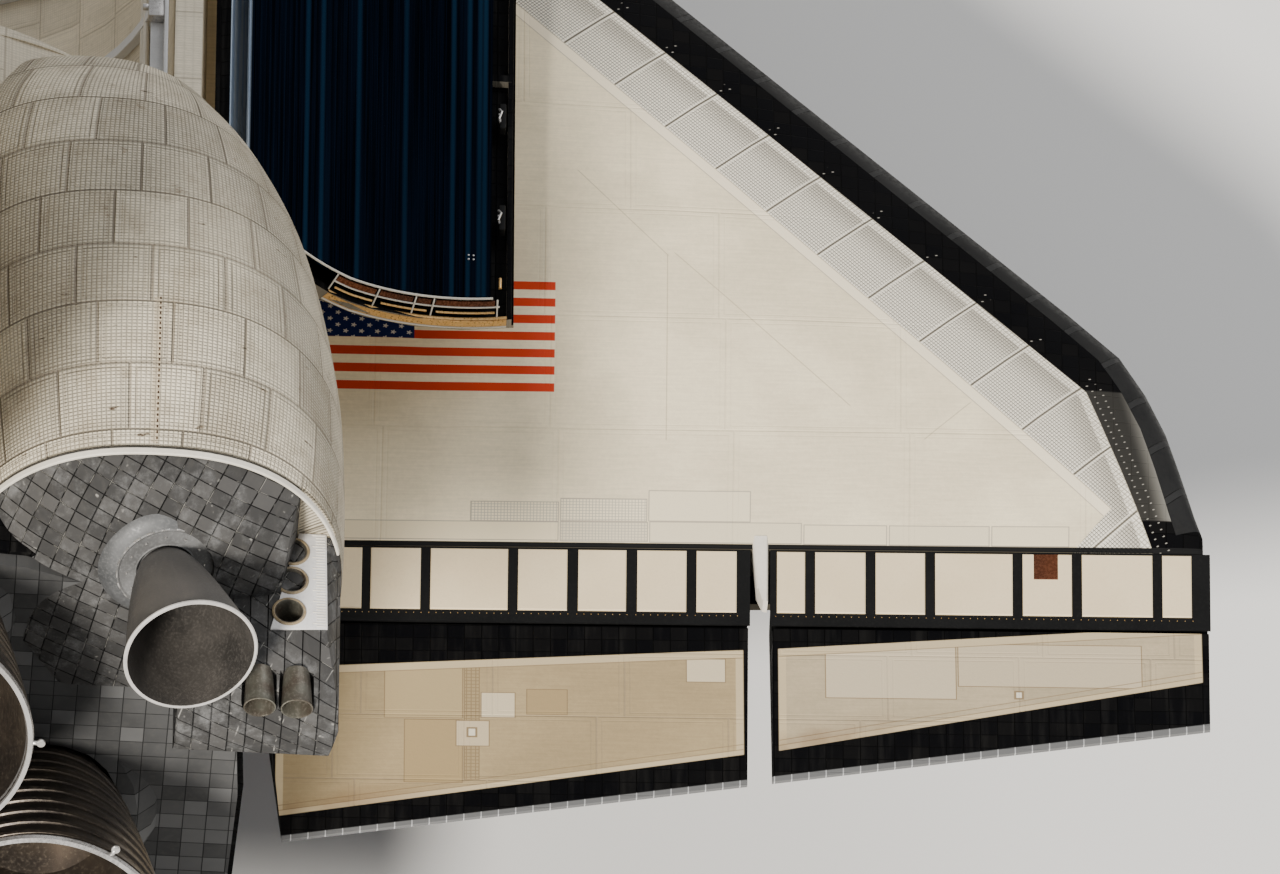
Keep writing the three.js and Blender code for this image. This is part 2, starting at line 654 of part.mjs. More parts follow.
function engineAxis({ up, out }) {
  const flat = Math.cos(radians(up));
  return point(flat * Math.cos(radians(out)), flat * Math.sin(radians(out)), Math.sin(radians(up)));
}

// Outer radius of a main engine bell at a distance from its gimbal
function bellRadius(along) {
  return 5.1 + 40.3 * Math.sqrt((along - bell.throat) / (bell.exit - bell.throat)) + bell.wall;
}

// Distance along an engine's axis at which it leaves the tail plane
function mouthOf(engine) {
  return (tailEnd - engine.x) / engineAxis(engine).x;
}

function onEngine(engine, along) {
  return point(engine.x, engine.y, engine.z).addScaledVector(engineAxis(engine), along);
}

function engineBell(engine) {
  const start = mouthOf(engine) + engine.neck;
  const outer = [0, 0.2, 0.45, 0.7, 1].map((share) => {
    const along = mix(start, bell.exit, share);
    return [bellRadius(along), along];
  });
  const inner = outer.map(([radius, along]) => [radius - bell.wall, along]).reverse();
  const [throatRadius, throatAlong] = inner.at(-1);
  const floor = [[throatRadius, throatAlong + 3], [0, throatAlong + 2]];
  const profile = [[0, start], ...outer, ...inner.slice(0, -1), ...floor];
  return turned(profile, onEngine(engine, 0), engineAxis(engine), 24);
}

function heatShield() {
  const edge = fuselageRing(stationAt(tailEnd), 2);
  const plate = loft([tailEnd, tailEnd + 5].map((x) => edge.map((p) => point(x, p.y, p.z))));
  const domes = engines.map((engine) => {
    const wide = engine.dome;
    const profile = [[0, 0], [wide, 0], [wide, 14], [wide - 3, 22], [wide - 9, 27], [0, 27]];
    return turned(profile, onEngine(engine, mouthOf(engine) - 14), engineAxis(engine), 20);
  });
  const behind = box(1300, tailEnd, -200, 200, 200, 600);
  const flapCove = box(tailEnd - 1, tailEnd + 40, -200, 200, 200, flap.cove);
  const throats = engines.map((engine) => {
    const mouth = mouthOf(engine);
    const size = bellRadius(mouth + 14) + 1.2;
    return rod(onEngine(engine, mouth - 16), onEngine(engine, mouth + 16), size, 20);
  });
  return cut(join(plate, ...domes), behind, flapCove, ...throats);
}

function bodyFlap() {
  const { hingeX, hingeZ, chord, half, nose } = flap;
  const side = [];
  for (const turn of [90, 120, 150, 180, 210, 240, 270])
    side.push([hingeX + nose * Math.cos(radians(turn)), hingeZ + nose * Math.sin(radians(turn))]);
  side.push([hingeX + chord, hingeZ - 0.8], [hingeX + chord, hingeZ + 0.8]);
  return loft([-half, half].map((y) => side.map(([x, z]) => point(x, y, z))));
}

// Pod stations: middle and half width, crest and foot of the shell, lean of the crest inboard
const podStations = [
  { x: 1309, y: 62, half: 46, crest: 497, side: 436, lean: 3 },
  { x: 1322, y: 65, half: 52, crest: 507, side: 436, lean: 4 },
  { x: 1345, y: 69.5, half: 60.5, crest: 521, side: 440, lean: 5 },
  { x: 1380, y: 75.5, half: 67, crest: 532, side: 444, lean: 5 },
  { x: 1430, y: 81.5, half: 69.5, crest: 538, side: 447, lean: 3 },
  { x: 1470, y: 84.5, half: 68.5, crest: 537, side: 449, lean: 1 },
  { x: 1503, y: 86, half: 66.5, crest: 531, side: 450.5, lean: 0 },
  { x: 1512, y: 86, half: 64, crest: 526, side: 451, lean: 0 },
  { x: 1523, y: 86, half: 58, crest: 518, side: 452, lean: 0 },
  { x: 1530, y: 87, half: 50, crest: 506, side: 453, lean: 0 },
  { x: 1535, y: 88, half: 38, crest: 482, side: 455, lean: 0 },
];
const podSteps = 16;
const podCurve = 0.85;

function podRing({ x, y, half, crest, side, lean }) {
  const ring = [];
  for (let i = 0; i <= podSteps; i++) {
    const a = Math.PI * (i / podSteps);
    const width = Math.abs(Math.cos(a)) ** podCurve * Math.sign(Math.cos(a));
    const rise = Math.sin(a) ** podCurve;
    ring.push(point(x, y + half * width - lean * rise, side + (crest - side) * rise));
  }
  ring.push(point(x, y - half * 0.7, side - 22), point(x, y + half * 0.72, side - 22));
  return ring;
}

// The small thruster housing behind each pod: a box whose top slopes down to a blunt rear face
const housingStations = [
  { x: 1478, inner: 118, low: 448, side: 148.5, top: 484, edge: 146 },
  { x: 1520, inner: 96, low: 448, side: 149, top: 484, edge: 146 },
  { x: 1545.6, inner: 96, low: 448.5, side: 149, top: 484, edge: 146 },
  { x: 1572.5, inner: 96, low: 449, side: 149, top: 477.5, edge: 150.6 },
  { x: 1575, inner: 97, low: 458, side: 150, top: 469, edge: 151 },
];
const housingSide = 466;
const jetDeck = 484;
const upJets = [[1513, 134], [1525.4, 133.8], [1538.7, 133.1]];
const rearJets = [123.7, 136.3];

function housingRing({ x, inner, low, side, top, edge }) {
  const shoulder = Math.min(housingSide, top - 1);
  return [
    point(x, inner, low),
    point(x, side, low),
    point(x, 151.4, shoulder),
    point(x, edge, top),
    point(x, inner, top),
  ];
}

const podEngine = { x: 1516.6, y: 87.3, z: 492.5, up: 14, out: 11, mouth: 63.4, start: 14 };

function onPodEngine(along) {
  const base = point(podEngine.x, podEngine.y, podEngine.z);
  return base.addScaledVector(engineAxis(podEngine), along);
}

function omsPod() {
  const shell = loft(podStations.map(podRing));
  const housing = loft(housingStations.map(housingRing));
  const collar = [[0, -22], [26, -22], [25.4, 2], [23.8, 9.5], [21, 14], [16.4, 16], [0, 16]];
  const dome = turned(collar, onPodEngine(0), engineAxis(podEngine), 28);
  const notchEdge = [[1504.3, 135.7], [1504.3, 170], [1560, 170], [1560, 123], [1546.8, 126.4]];
  const notch = prism(notchEdge, jetDeck, 560);
  const upOpenings = upJets.map(([x, y]) => rod(point(x, y, 471), point(x, y, 500), 4.8, 14));
  const rearOpenings = rearJets.map((y) => rod(point(1561, y, 478), point(1590, y, 477), 5.5, 14));
  const throat = rod(onPodEngine(podEngine.start - seam), onPodEngine(20), 10, 20);
  const face = rod(onPodEngine(16.05), onPodEngine(60), 16.4, 24);
  const seat = fuselage(1250, tailEnd, -0.8);
  const plateEdge = fuselageRing(stationAt(tailEnd), 1.5);
  const plate = loft([tailEnd - 1, tailEnd + 5.3].map((x) => plateEdge.map((p) => point(x, p.y, p.z))));
  const finFoot = box(1200, 1560, -5, 15, 400, 600);
  const topEngine = rod(onEngine(engines[0], 60), onEngine(engines[0], 150), 45.5, 28);
  const openings = [throat, face, ...upOpenings, ...rearOpenings];
  return cut(join(cut(shell, notch), housing, dome), seat, plate, finFoot, topEngine, ...openings);
}

function omsNozzle() {
  const { start, mouth } = podEngine;
  const wall = 0.9;
  const outer = [0, 0.25, 0.5, 0.75, 1].map((share) => [
    mix(7.6, 22.6, share ** 0.7),
    mix(start, mouth, share),
  ]);
  const inner = outer.map(([radius, along]) => [radius - wall, along]).reverse();
  const profile = [[0, start], ...outer, ...inner.slice(0, -1), [5, start + 4], [0, start + 3]];
  return turned(profile, onPodEngine(0), engineAxis(podEngine), 20);
}

// Landing gear, drawn upright on the level ground

const tilt = radians(parkedPitch);

function parked(x, y, z) {
  return point(x * Math.cos(tilt) - z * Math.sin(tilt), y, x * Math.sin(tilt) + z * Math.cos(tilt));
}

const groundLevel = parked(ground.x, 0, ground.z).z;

function gearLeg(axle, lug, topZ, radius, braces) {
  const head = point(axle.x, axle.y, topZ);
  const barrel = rod(point(axle.x, axle.y, axle.z + 34), head, radius, 14);
  const at = (back, side, rise) => point(axle.x + back, axle.y + side, axle.z + rise);
  const piston = rod(at(0, 0, 2), at(0, 0, 40), radius * 0.66, 12);
  const eye = rod(at(0, -lug, 0), at(0, lug, 0), radius * 0.8, 14);
  const bore = rod(at(0, -lug - 1, 0), at(0, lug + 1, 0), 2.5, 14);
  const scissors = [
    rod(at(radius * 0.5, 0, 3), at(radius + 6, 0, 18), 1.6, 8),
    rod(at(radius + 6, 0, 17), at(radius * 0.6, 0, 38), 1.6, 8),
  ];
  const struts = braces.map(([from, to, size]) => rod(from, to, size, 8));
  return cut(join(barrel, piston, eye, ...scissors, ...struts), bore);
}

function hub(axle, spacing, drum, half, pin) {
  const side = [
    [0, -spacing - half],
    [drum * 0.55, -spacing - half],
    [drum * 0.62, -spacing - half * 0.35],
    [drum - 0.8, -spacing - half * 0.35],
    [drum, -spacing - half],
    [drum, -spacing + half * 0.8],
    [drum * 0.5, -spacing + half * 0.8],
    [pin, -spacing + half * 0.9],
  ];
  const mirrored = side.map(([r, y]) => [r, -y]).reverse();
  return turned([...side, ...mirrored], axle, point(0, 1, 0), 16);
}

// A tyre of flat facets, turned so that one of them lies on the ground.
const tyreSides = 24;

function tyre(axle, offset, tread, width, bead) {
  const half = width / 2;
  const radius = tread / Math.cos(Math.PI / tyreSides);
  const profile = [
    [bead, -half * 0.62],
    [mix(bead, radius, 0.5), -half],
    [mix(bead, radius, 0.9), -half * 0.8],
    [radius, -half * 0.5],
    [radius, half * 0.5],
    [mix(bead, radius, 0.9), half * 0.8],
    [mix(bead, radius, 0.5), half],
    [bead, half * 0.62],
    [bead, -half * 0.62],
  ];
  const place = point(axle.x, axle.y + offset, axle.z);
  const ring = turned(profile, place, point(0, 1, 0), tyreSides);
  return swung(ring, place, point(0, 1, 0), 180 / tyreSides);
}

function mainAxle() {
  const place = parked(mainGear.x, mainGear.y, ground.z);
  return point(place.x, mainGear.y, groundLevel + mainGear.radius);
}

function noseAxle() {
  const place = parked(noseGear.x, 0, 230);
  return point(place.x, 0, groundLevel + noseGear.radius);
}

function mainLeg() {
  const axle = mainAxle();
  const roof = parked(mainGear.x, mainGear.y, 307).z - 1.5;
  const shoulder = point(axle.x, axle.y, axle.z + 48);
  const braces = [
    [shoulder, point(axle.x - 66, axle.y, roof - 4), 2.6],
    [shoulder, point(axle.x, axle.y - 22, roof - 1.5), 2.4],
    [point(axle.x - 8, axle.y, roof - 5), point(axle.x + 12, axle.y, roof - 5), 5],
  ];
  return gearLeg(axle, 4.2, roof - 0.6, 6.2, braces);
}

function noseLeg() {
  const axle = noseAxle();
  const roof = parked(noseGear.x, 0, noseGear.well[3]).z - 1.2;
  const collar = axle.z + 26.3;
  const barrel = rod(point(axle.x, 0, collar), point(axle.x, 0, roof), 4.6, 14);
  const cuff = rod(point(axle.x, 0, collar), point(axle.x, 0, collar + 6), 6, 14);
  const brace = rod(point(axle.x, 0, axle.z + 46), point(axle.x - 52, 0, roof - 3), 2, 8);
  const crosses = [roof - 4, axle.z + 44].map((z) =>
    rod(point(axle.x, -12, z), point(axle.x, 12, z), 2.2, 8));
  return join(barrel, cuff, brace, ...crosses);
}

function noseFork() {
  const axle = noseAxle();
  const top = axle.z + 26;
  const piston = rod(point(axle.x, 0, axle.z + 2), point(axle.x, 0, top), 3.4, 12);
  const collar = rod(point(axle.x, 0, top - 5), point(axle.x, 0, top), 5.4, 14);
  const eye = rod(point(axle.x, -3.8, axle.z), point(axle.x, 3.8, axle.z), 4.4, 14);
  const links = [
    rod(point(axle.x + 3, 0, axle.z + 2), point(axle.x + 10, 0, axle.z + 12), 1.3, 8),
    rod(point(axle.x + 10, 0, axle.z + 11), point(axle.x + 4.5, 0, top - 2), 1.3, 8),
  ];
  const bore = rod(point(axle.x, -9, axle.z), point(axle.x, 9, axle.z), 2.1, 14);
  return cut(join(piston, collar, eye, ...links), bore);
}

// Gear doors, hung open below the belly
function mainGearDoor() {
  const [x0, x1, , y1] = mainGear.well;
  const panel = box(x0 + 2, x1 - 2, y1 + 1.5, y1 + 4, 208, 269.5);
  const arms = [x0 + 20, x1 - 20].map((x) => box(x - 2, x + 2, y1 + 0.4, y1 + 2, 260, 272.2));
  return swung(join(panel, ...arms), point(1120, y1 + 2, 272), point(1, 0, 0), 8);
}

function noseGearDoor() {
  const [x0, x1, half] = noseGear.well;
  const panel = box(x0 + 2, x1 - 2, half + 1.2, half + 2.8, 268, 284.5);
  return join(panel, box(x0 + 16, x0 + 19, half + 1.3, half + 2.6, 284, 287.4));
}

// Assembly

const orbiter = new THREE.Group();
const airframe = new THREE.Group();
const undercarriage = new THREE.Group();
orbiter.add(airframe, undercarriage);

const offset = { x: -middleX * inch, z: -groundLevel * inch };
airframe.scale.setScalar(inch);
airframe.rotation.y = -tilt;
airframe.position.set(offset.x, 0, offset.z);
undercarriage.scale.setScalar(inch);
undercarriage.position.copy(airframe.position);

function add(group, name, geometry, look) {
  const mesh = new THREE.Mesh(geometry, new THREE.MeshStandardMaterial(look));
  mesh.name = name;
  group.add(mesh);
}

function addPair(group, name, geometry, look) {
  add(group, name + "_starboard", geometry, look);
  add(group, name + "_port", flipped(geometry), look);
}

add(airframe, "nose_cap", noseCap(), paint.carbon);
add(airframe, "forward_fuselage", forwardFuselage(), paint.blanket);
add(airframe, "windscreen", glazing(screenZone, 0), paint.glass);
add(airframe, "overhead_windows", glazing(overheadZone, 0), paint.glass);
add(airframe, "flight_deck", flightDeck(), paint.fitting);
add(airframe, "side_hatch", sideHatch(), paint.blanket);
add(airframe, "mid_fuselage", midFuselage(), paint.liner);
add(airframe, "aft_fuselage", aftFuselage(), paint.blanket);
add(airframe, "heat_shield", heatShield(), paint.fitting);
add(airframe, "body_flap", bodyFlap(), paint.tile);
add(airframe, "fin", verticalFin(), paint.blanket);
add(airframe, "rudder_spine", rudderSpine(), paint.tile);
addPair(airframe, "rudder", rudderPanel(), paint.blanket);
engines.forEach((engine) => add(airframe, "main_engine_" + engine.name, engineBell(engine), paint.metal));
addPair(airframe, "bay_door", bayDoor(), paint.blanket);
addPair(airframe, "radiator", bayRadiator(), paint.mirror);
addPair(airframe, "wing", mainWing(), paint.blanket);
addPair(airframe, "leading_edge", wingEdge(), paint.carbon);
for (const span of elevonSpans) {
  addPair(airframe, "elevon_" + span.name, elevon(span), paint.blanket);
  addPair(airframe, "seal_panels_" + span.name, sealPanels(span), paint.panel);
}
addPair(airframe, "engine_pod", omsPod(), paint.blanket);
addPair(airframe, "pod_nozzle", omsNozzle(), paint.metal);
addPair(airframe, "main_gear_door", mainGearDoor(), paint.tile);
addPair(airframe, "nose_gear_door", noseGearDoor(), paint.tile);

addPair(undercarriage, "main_gear_leg", mainLeg(), paint.strut);
addPair(undercarriage, "main_wheel", hub(mainAxle(), mainGear.spacing, 11.2, 6.6, 2.3), paint.strut);
for (const [side, turn] of [["outer", 1], ["inner", -1]]) {
  const shape = tyre(mainAxle(), turn * mainGear.spacing, mainGear.radius, mainGear.width, 11.4);
  addPair(undercarriage, "main_tyre_" + side, shape, paint.rubber);
}
add(undercarriage, "nose_gear_leg", noseLeg(), paint.strut);
add(undercarriage, "nose_gear_fork", noseFork(), paint.strut);
add(undercarriage, "nose_wheel", hub(noseAxle(), noseGear.spacing, 8, 3.8, 1.9), paint.strut);
const noseTyre = tyre(noseAxle(), noseGear.spacing, noseGear.radius, noseGear.width, 8.2);
addPair(undercarriage, "nose_tyre", noseTyre, paint.rubber);

export default orbiter;
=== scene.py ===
import math
from functools import partial, reduce

import bmesh
import bpy
from mathutils import Matrix, Vector


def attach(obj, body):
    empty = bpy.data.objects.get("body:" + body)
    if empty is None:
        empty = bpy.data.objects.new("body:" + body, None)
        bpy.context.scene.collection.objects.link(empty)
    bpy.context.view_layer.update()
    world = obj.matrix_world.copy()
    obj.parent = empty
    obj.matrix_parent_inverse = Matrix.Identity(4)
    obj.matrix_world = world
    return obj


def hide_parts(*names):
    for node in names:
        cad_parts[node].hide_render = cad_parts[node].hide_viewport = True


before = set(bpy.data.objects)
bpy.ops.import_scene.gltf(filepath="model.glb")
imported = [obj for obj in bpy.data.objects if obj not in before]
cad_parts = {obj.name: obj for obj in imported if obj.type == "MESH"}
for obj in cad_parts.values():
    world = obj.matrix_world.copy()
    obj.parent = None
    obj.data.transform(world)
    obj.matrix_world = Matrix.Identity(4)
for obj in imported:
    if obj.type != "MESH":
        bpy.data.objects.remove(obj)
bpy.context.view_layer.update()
print("frame loaded")

# The airframe is drawn in station inches: x aft from the nose datum, y to starboard, z up.
# It stands nose down on its gear, so everything is turned and set on the ground at the end.

stations = {
    "inch": 0.0254,
    "pitch": math.radians(3.5),
    "middle": 932.34,
    "groundX": 1172,
    "groundZ": 163,
}


def parkedHeight(x, z):
    return x * math.sin(stations["pitch"]) + z * math.cos(stations["pitch"])


groundLevel = parkedHeight(stations["groundX"], stations["groundZ"])
onGround = Matrix.Scale(stations["inch"], 4) @ Matrix.Translation((-stations["middle"], 0, -groundLevel))
tilted = Matrix.Rotation(-stations["pitch"], 4, "Y")
airframePlace = onGround @ tilted
sides = {"starboard": 1, "port": -1}


def mix(a, b, share):
    return a + (b - a) * share


# Floor, lights and camera

studio = {
    "floorSize": 400,
    "floorColour": (0.80, 0.79, 0.77, 1),
    "keyDirection": (0.85, -0.36, 0.68),  # towards the lamp: behind, a little to port, above
    "keyColour": (1.0, 0.955, 0.88),
    "keyStrength": 6.3,
    "keySoftness": math.radians(9),
    "fillDirection": (-0.6, 0.55, 0.9),
    "fillColour": (0.97, 0.98, 1.0),
    "fillStrength": 1.0,
    "fillSoftness": math.radians(40),
    "skyColour": (0.96, 0.975, 1.0, 1),
    "skyStrength": 0.5,
}

camera = {
    "target": (1311.9, 265.35, 300),  # station inches
    "azimuth": math.radians(-5.265),
    "elevation": math.radians(51.797),
    "roll": math.radians(6.865),
    "distance": 6999.9,
    "lens": 557.08,
    "sensor": 36,
}


def aimedSun(lamp, softness):
    bpy.ops.object.light_add(type="SUN", location=(0, 0, 60))
    sun = bpy.context.object
    sun.name = lamp + " light"
    sun.data.color = studio[lamp + "Colour"]
    sun.data.energy = studio[lamp + "Strength"]
    sun.data.angle = softness
    sun.rotation_euler = Vector(studio[lamp + "Direction"]).to_track_quat("Z", "Y").to_euler()


def setStudio():
    bpy.ops.mesh.primitive_plane_add(size=studio["floorSize"], location=(0, 0, 0))
    floor = bpy.context.object
    floor.name = "studio_floor"
    paper = bpy.data.materials.new("studio paper")
    paper.use_nodes = True
    surface = paper.node_tree.nodes["Principled BSDF"].inputs
    surface["Base Color"].default_value = studio["floorColour"]
    surface["Roughness"].default_value = 0.9
    floor.data.materials.append(paper)
    aimedSun("key", studio["keySoftness"])
    aimedSun("fill", studio["fillSoftness"])
    world = bpy.data.worlds.new("studio sky")
    world.use_nodes = True
    sky = world.node_tree.nodes["Background"].inputs
    sky["Color"].default_value = studio["skyColour"]
    sky["Strength"].default_value = studio["skyStrength"]
    bpy.context.scene.world = world


def setCamera():
    around, up = camera["azimuth"], camera["elevation"]
    back = Vector((math.cos(up) * math.cos(around), math.cos(up) * math.sin(around), math.sin(up)))
    right = Vector((-math.sin(around), math.cos(around), 0))
    upright = back.cross(right)
    turn = Matrix((right, upright, back)).transposed() @ Matrix.Rotation(camera["roll"], 3, "Z")
    place = Vector(camera["target"]) + back * camera["distance"]
    bpy.ops.object.camera_add()
    view = bpy.context.object
    view.name = "camera"
    view.data.lens = camera["lens"]
    view.data.sensor_width = camera["sensor"]
    view.data.clip_end = 2000
    view.matrix_world = Matrix.Translation(airframePlace @ place) @ (tilted.to_3x3() @ turn).to_4x4()
    bpy.context.scene.camera = view


setCamera()
setStudio()
print("studio and camera set")

# Node building: every helper adds to the tree that is being drawn

drawing = {"tree": None, "surface": None}


def fill(socket, value):
    if isinstance(value, bpy.types.NodeSocket):
        drawing["tree"].links.new(value, socket)
    else:
        socket.default_value = value


def addNode(kind, settings=None, sockets=None):
    made = drawing["tree"].nodes.new("ShaderNode" + kind)
    for key, value in (settings or {}).items():
        setattr(made, key, value)
    for key, value in (sockets or {}).items():
        fill(made.inputs[key], value)
    return made


def maths(operation, *values):
    return addNode("Math", {"operation": operation}, dict(enumerate(values))).outputs[0]


plus = partial(maths, "ADD")
minus = partial(maths, "SUBTRACT")
times = partial(maths, "MULTIPLY")
over = partial(maths, "DIVIDE")
timesPlus = partial(maths, "MULTIPLY_ADD")
least = partial(maths, "MINIMUM")
most = partial(maths, "MAXIMUM")
absolute = partial(maths, "ABSOLUTE")
fraction = partial(maths, "FRACT")


def distance(value, middle):
    return absolute(minus(value, middle))


def hypotenuse(a, b):
    return maths("SQRT", timesPlus(a, a, times(b, b)))


def ramp(value, low, high, start=0.0, end=1.0):
    sockets = {"Value": value, "From Min": low, "From Max": high, "To Min": start, "To Max": end}
    return addNode("MapRange", {"interpolation_type": "SMOOTHSTEP"}, sockets).outputs["Result"]


def mixColours(share, a, b, mode="MIX"):
    made = addNode("Mix", {"data_type": "RGBA", "blend_type": mode}, {0: share, 6: a, 7: b})
    return made.outputs[2]


def mixValues(share, a, b):
    return addNode("Mix", {"data_type": "FLOAT"}, {0: share, 2: a, 3: b}).outputs[0]


def vector(x, y, z=0.0):
    return addNode("CombineXYZ", {}, {"X": x, "Y": y, "Z": z}).outputs[0]


def noise(place, scale, detail=3.0, rough=0.55):
    made = addNode("TexNoise", {}, {"Vector": place, "Scale": scale, "Detail": detail, "Roughness": rough})
    return made.outputs["Fac"]


colourSockets = ("Blanket", "Tile", "Worn tile", "Joint tone", "Colour")


def newGroup(name, inputs, outputs):
    group = bpy.data.node_groups.new(name, "ShaderNodeTree")
    for labels, way in ((inputs, "INPUT"), (outputs, "OUTPUT")):
        for label in labels:
            kind = "NodeSocketColor" if label in colourSockets else "NodeSocketFloat"
            group.interface.new_socket(label, in_out=way, socket_type=kind)
    drawing["tree"] = group
    return group.nodes.new("NodeGroupInput").outputs, group.nodes.new("NodeGroupOutput").inputs


def useGroup(name, sockets=None):
    made = addNode("Group")
    made.node_tree = bpy.data.node_groups[name]
    for key, value in (sockets or {}).items():
        fill(made.inputs[key], value)
    return made.outputs


def positions():
    # Where a point lies, in station inches
    return useGroup("station inches")


def weathering(where):
    return useGroup("weathering", {axis: where[axis] for axis in "XYZ"})


def spotOf(where):
    return vector(where["X"], where["Y"], where["Z"])


def objectPlace():
    return addNode("TexCoord").outputs["Object"]


def waves(values, pitch):
    # Rounded humps of one pitch along each value
    return [absolute(maths("SINE", times(value, math.pi / pitch))) for value in values]


# Shared effects


def makeStationGroup():
    _, result = newGroup("station inches", "", "XYZ")
    back = airframePlace.inverted()
    sockets = {
        "Vector": objectPlace(),
        "Location": back.to_translation(),
        "Rotation": back.to_euler(),
        "Scale": (1 / stations["inch"],) * 3,
    }
    mapped = addNode("Mapping", {"vector_type": "POINT"}, sockets).outputs[0]
    split = addNode("SeparateXYZ", {}, {0: mapped}).outputs
    for axis in "XYZ":
        fill(result[axis], split[axis])


def makeTileGroup():
    # Square tiles: a dark joint round each, and a value of its own on each
    given, result = newGroup("tile rows", ("Across", "Along", "Size", "Seed"), ("Joint", "Shade"))
    distances, cells = [], []
    for key in ("Across", "Along"):
        cell = over(given[key], given["Size"])
        distances.append(minus(0.5, distance(fraction(cell), 0.5)))
        cells.append(maths("FLOOR", cell))
    nearest = times(least(*distances), given["Size"])
    fill(result["Joint"], ramp(nearest, 0.04, 0.26, 1.0, 0.0))
    spot = vector(cells[0], cells[1], given["Seed"])
    shade = addNode("TexWhiteNoise", {"noise_dimensions": "3D"}, {"Vector": spot}).outputs["Value"]
    fill(result["Shade"], shade)


def makeQuiltGroup():
    # Sewn blankets: sheets in staggered rows, each with its own tone, and a fine stitched grid
    labels = ("Across", "Along", "Width", "Length", "Stitch")
    given, result = newGroup("sewn blankets", labels, ("Seam", "Puff", "Shade"))
    along = over(given["Along"], given["Length"])
    row = maths("FLOOR", along)
    shift = addNode("TexWhiteNoise", {"noise_dimensions": "1D"}, {"W": row}).outputs["Value"]
    across = plus(over(given["Across"], given["Width"]), shift)
    distances = []
    for value, size in ((across, "Width"), (along, "Length")):
        distances.append(times(minus(0.5, distance(fraction(value), 0.5)), given[size]))
    nearest = least(*distances)
    border = ramp(distance(nearest, 1.9), 0.12, 0.4, 0.35, 0.0)
    seam = ramp(nearest, 0.1, 0.5, 1.0, 0.0)
    fill(result["Seam"], most(seam, border))
    humps = []
    for key in ("Across", "Along"):
        turn = times(over(given[key], given["Stitch"]), math.pi)
        humps.append(absolute(maths("SINE", turn)))
    fill(result["Puff"], maths("POWER", least(*humps), 0.6))
    spot = vector(maths("FLOOR", across), row)
    shade = addNode("TexWhiteNoise", {"noise_dimensions": "2D"}, {"Vector": spot}).outputs["Value"]
    fill(result["Shade"], shade)


def makeGrimeGroup():
    # Broad weathering, fine speckle, and streaks that run aft
    given, result = newGroup("weathering", "XYZ", ("Broad", "Fine", "Streak", "Spot"))
    place = spotOf(given)
    fill(result["Broad"], ramp(noise(place, 0.022, 4.0), 0.35, 0.68))
    fill(result["Fine"], ramp(noise(place, 0.55, 4.0, 0.7), 0.3, 0.72))
    stretched = vector(times(given["X"], 0.06), given["Y"], given["Z"])
    fill(result["Streak"], ramp(noise(stretched, 0.35, 4.0), 0.45, 0.75))
    fill(result["Spot"], ramp(noise(place, 0.16, 2.0), 0.66, 0.75))


def makeSkinGroup():
    # Outer skin: white blankets where White is 1, dark tiles where it is 0
    quilting = ("Across", "Along", "Width", "Length", "Stitch")
    labels = ("White", *quilting, "Stitching", "Seam tone", "Blanket", "Tile size", "Tile", "Worn tile")
    given, result = newGroup("outer skin", (*labels, "Joint tone", "Wear"), ("Colour", "Roughness", "Height"))
    where = positions()
    dirt = weathering(where)
    quilt = useGroup("sewn blankets", {key: given[key] for key in quilting})
    variety = least(times(given["Seam tone"], 1.6), 1.0)
    tone = mixValues(variety, 1.0, ramp(quilt["Shade"], 0.0, 1.0, 0.84, 1.05))
    brushed = vector(times(where["X"], 1.1), times(where["Y"], 0.06))
    fade = ramp(noise(brushed, 1.0, 3.0), 0.3, 0.7, 0.94, 1.03)
    fade = times(fade, ramp(dirt["Fine"], 0.0, 1.0, 0.96, 1.02))
    tone = times(tone, fade)
    tone = times(tone, ramp(dirt["Broad"], 0.0, 1.0, 0.90, 1.03))
    # The low ground between the puffs is darkened: painted shade, as strong as the stitching
    stitchShade = times(minus(1.0, quilt["Puff"]), given["Stitching"])
    tone = minus(tone, times(stitchShade, 0.5))
    grey = addNode("CombineColor", {}, {0: tone, 1: tone, 2: tone}).outputs[0]
    cloth = mixColours(1.0, given["Blanket"], grey, "MULTIPLY")
    brown = times(times(dirt["Spot"], dirt["Fine"]), given["Wear"])
    cloth = mixColours(brown, cloth, (0.16, 0.10, 0.06, 1))
    cloth = mixColours(times(quilt["Seam"], given["Seam tone"]), cloth, (0.23, 0.19, 0.15, 1))
    rows = {"Across": given["Across"], "Along": given["Along"], "Size": given["Tile size"], "Seed": 3.0}
    tiles = useGroup("tile rows", rows)
    worn = times(ramp(tiles["Shade"], 0.3, 1.0), 0.7)
    worn = plus(worn, times(dirt["Broad"], 0.3))
    dark = mixColours(worn, given["Tile"], given["Worn tile"])
    streak = times(dirt["Streak"], given["Wear"])
    dark = mixColours(times(streak, 0.35), dark, (0.11, 0.105, 0.095, 1))
    dark = mixColours(tiles["Joint"], dark, given["Joint tone"])
    fill(result["Colour"], mixColours(given["White"], dark, cloth))
    tileRough = ramp(tiles["Shade"], 0.0, 1.0, 0.55, 0.8)
    fill(result["Roughness"], mixValues(given["White"], tileRough, 0.92))
    sewn = times(quilt["Puff"], given["Stitching"])
    sewn = minus(sewn, times(quilt["Seam"], 1.2))
    sewn = plus(sewn, times(dirt["Fine"], 0.15))
    laid = minus(times(tiles["Shade"], 0.35), tiles["Joint"])
    fill(result["Height"], mixValues(given["White"], laid, sewn))


makeStationGroup()
makeTileGroup()
makeQuiltGroup()
makeGrimeGroup()
makeSkinGroup()

# Skin materials: each works out where it is white and how its rows of tiles and blankets run


def grey(value, warmth=0.0):
    return (value * (1 + warmth), value, value * (1 - warmth), 1)


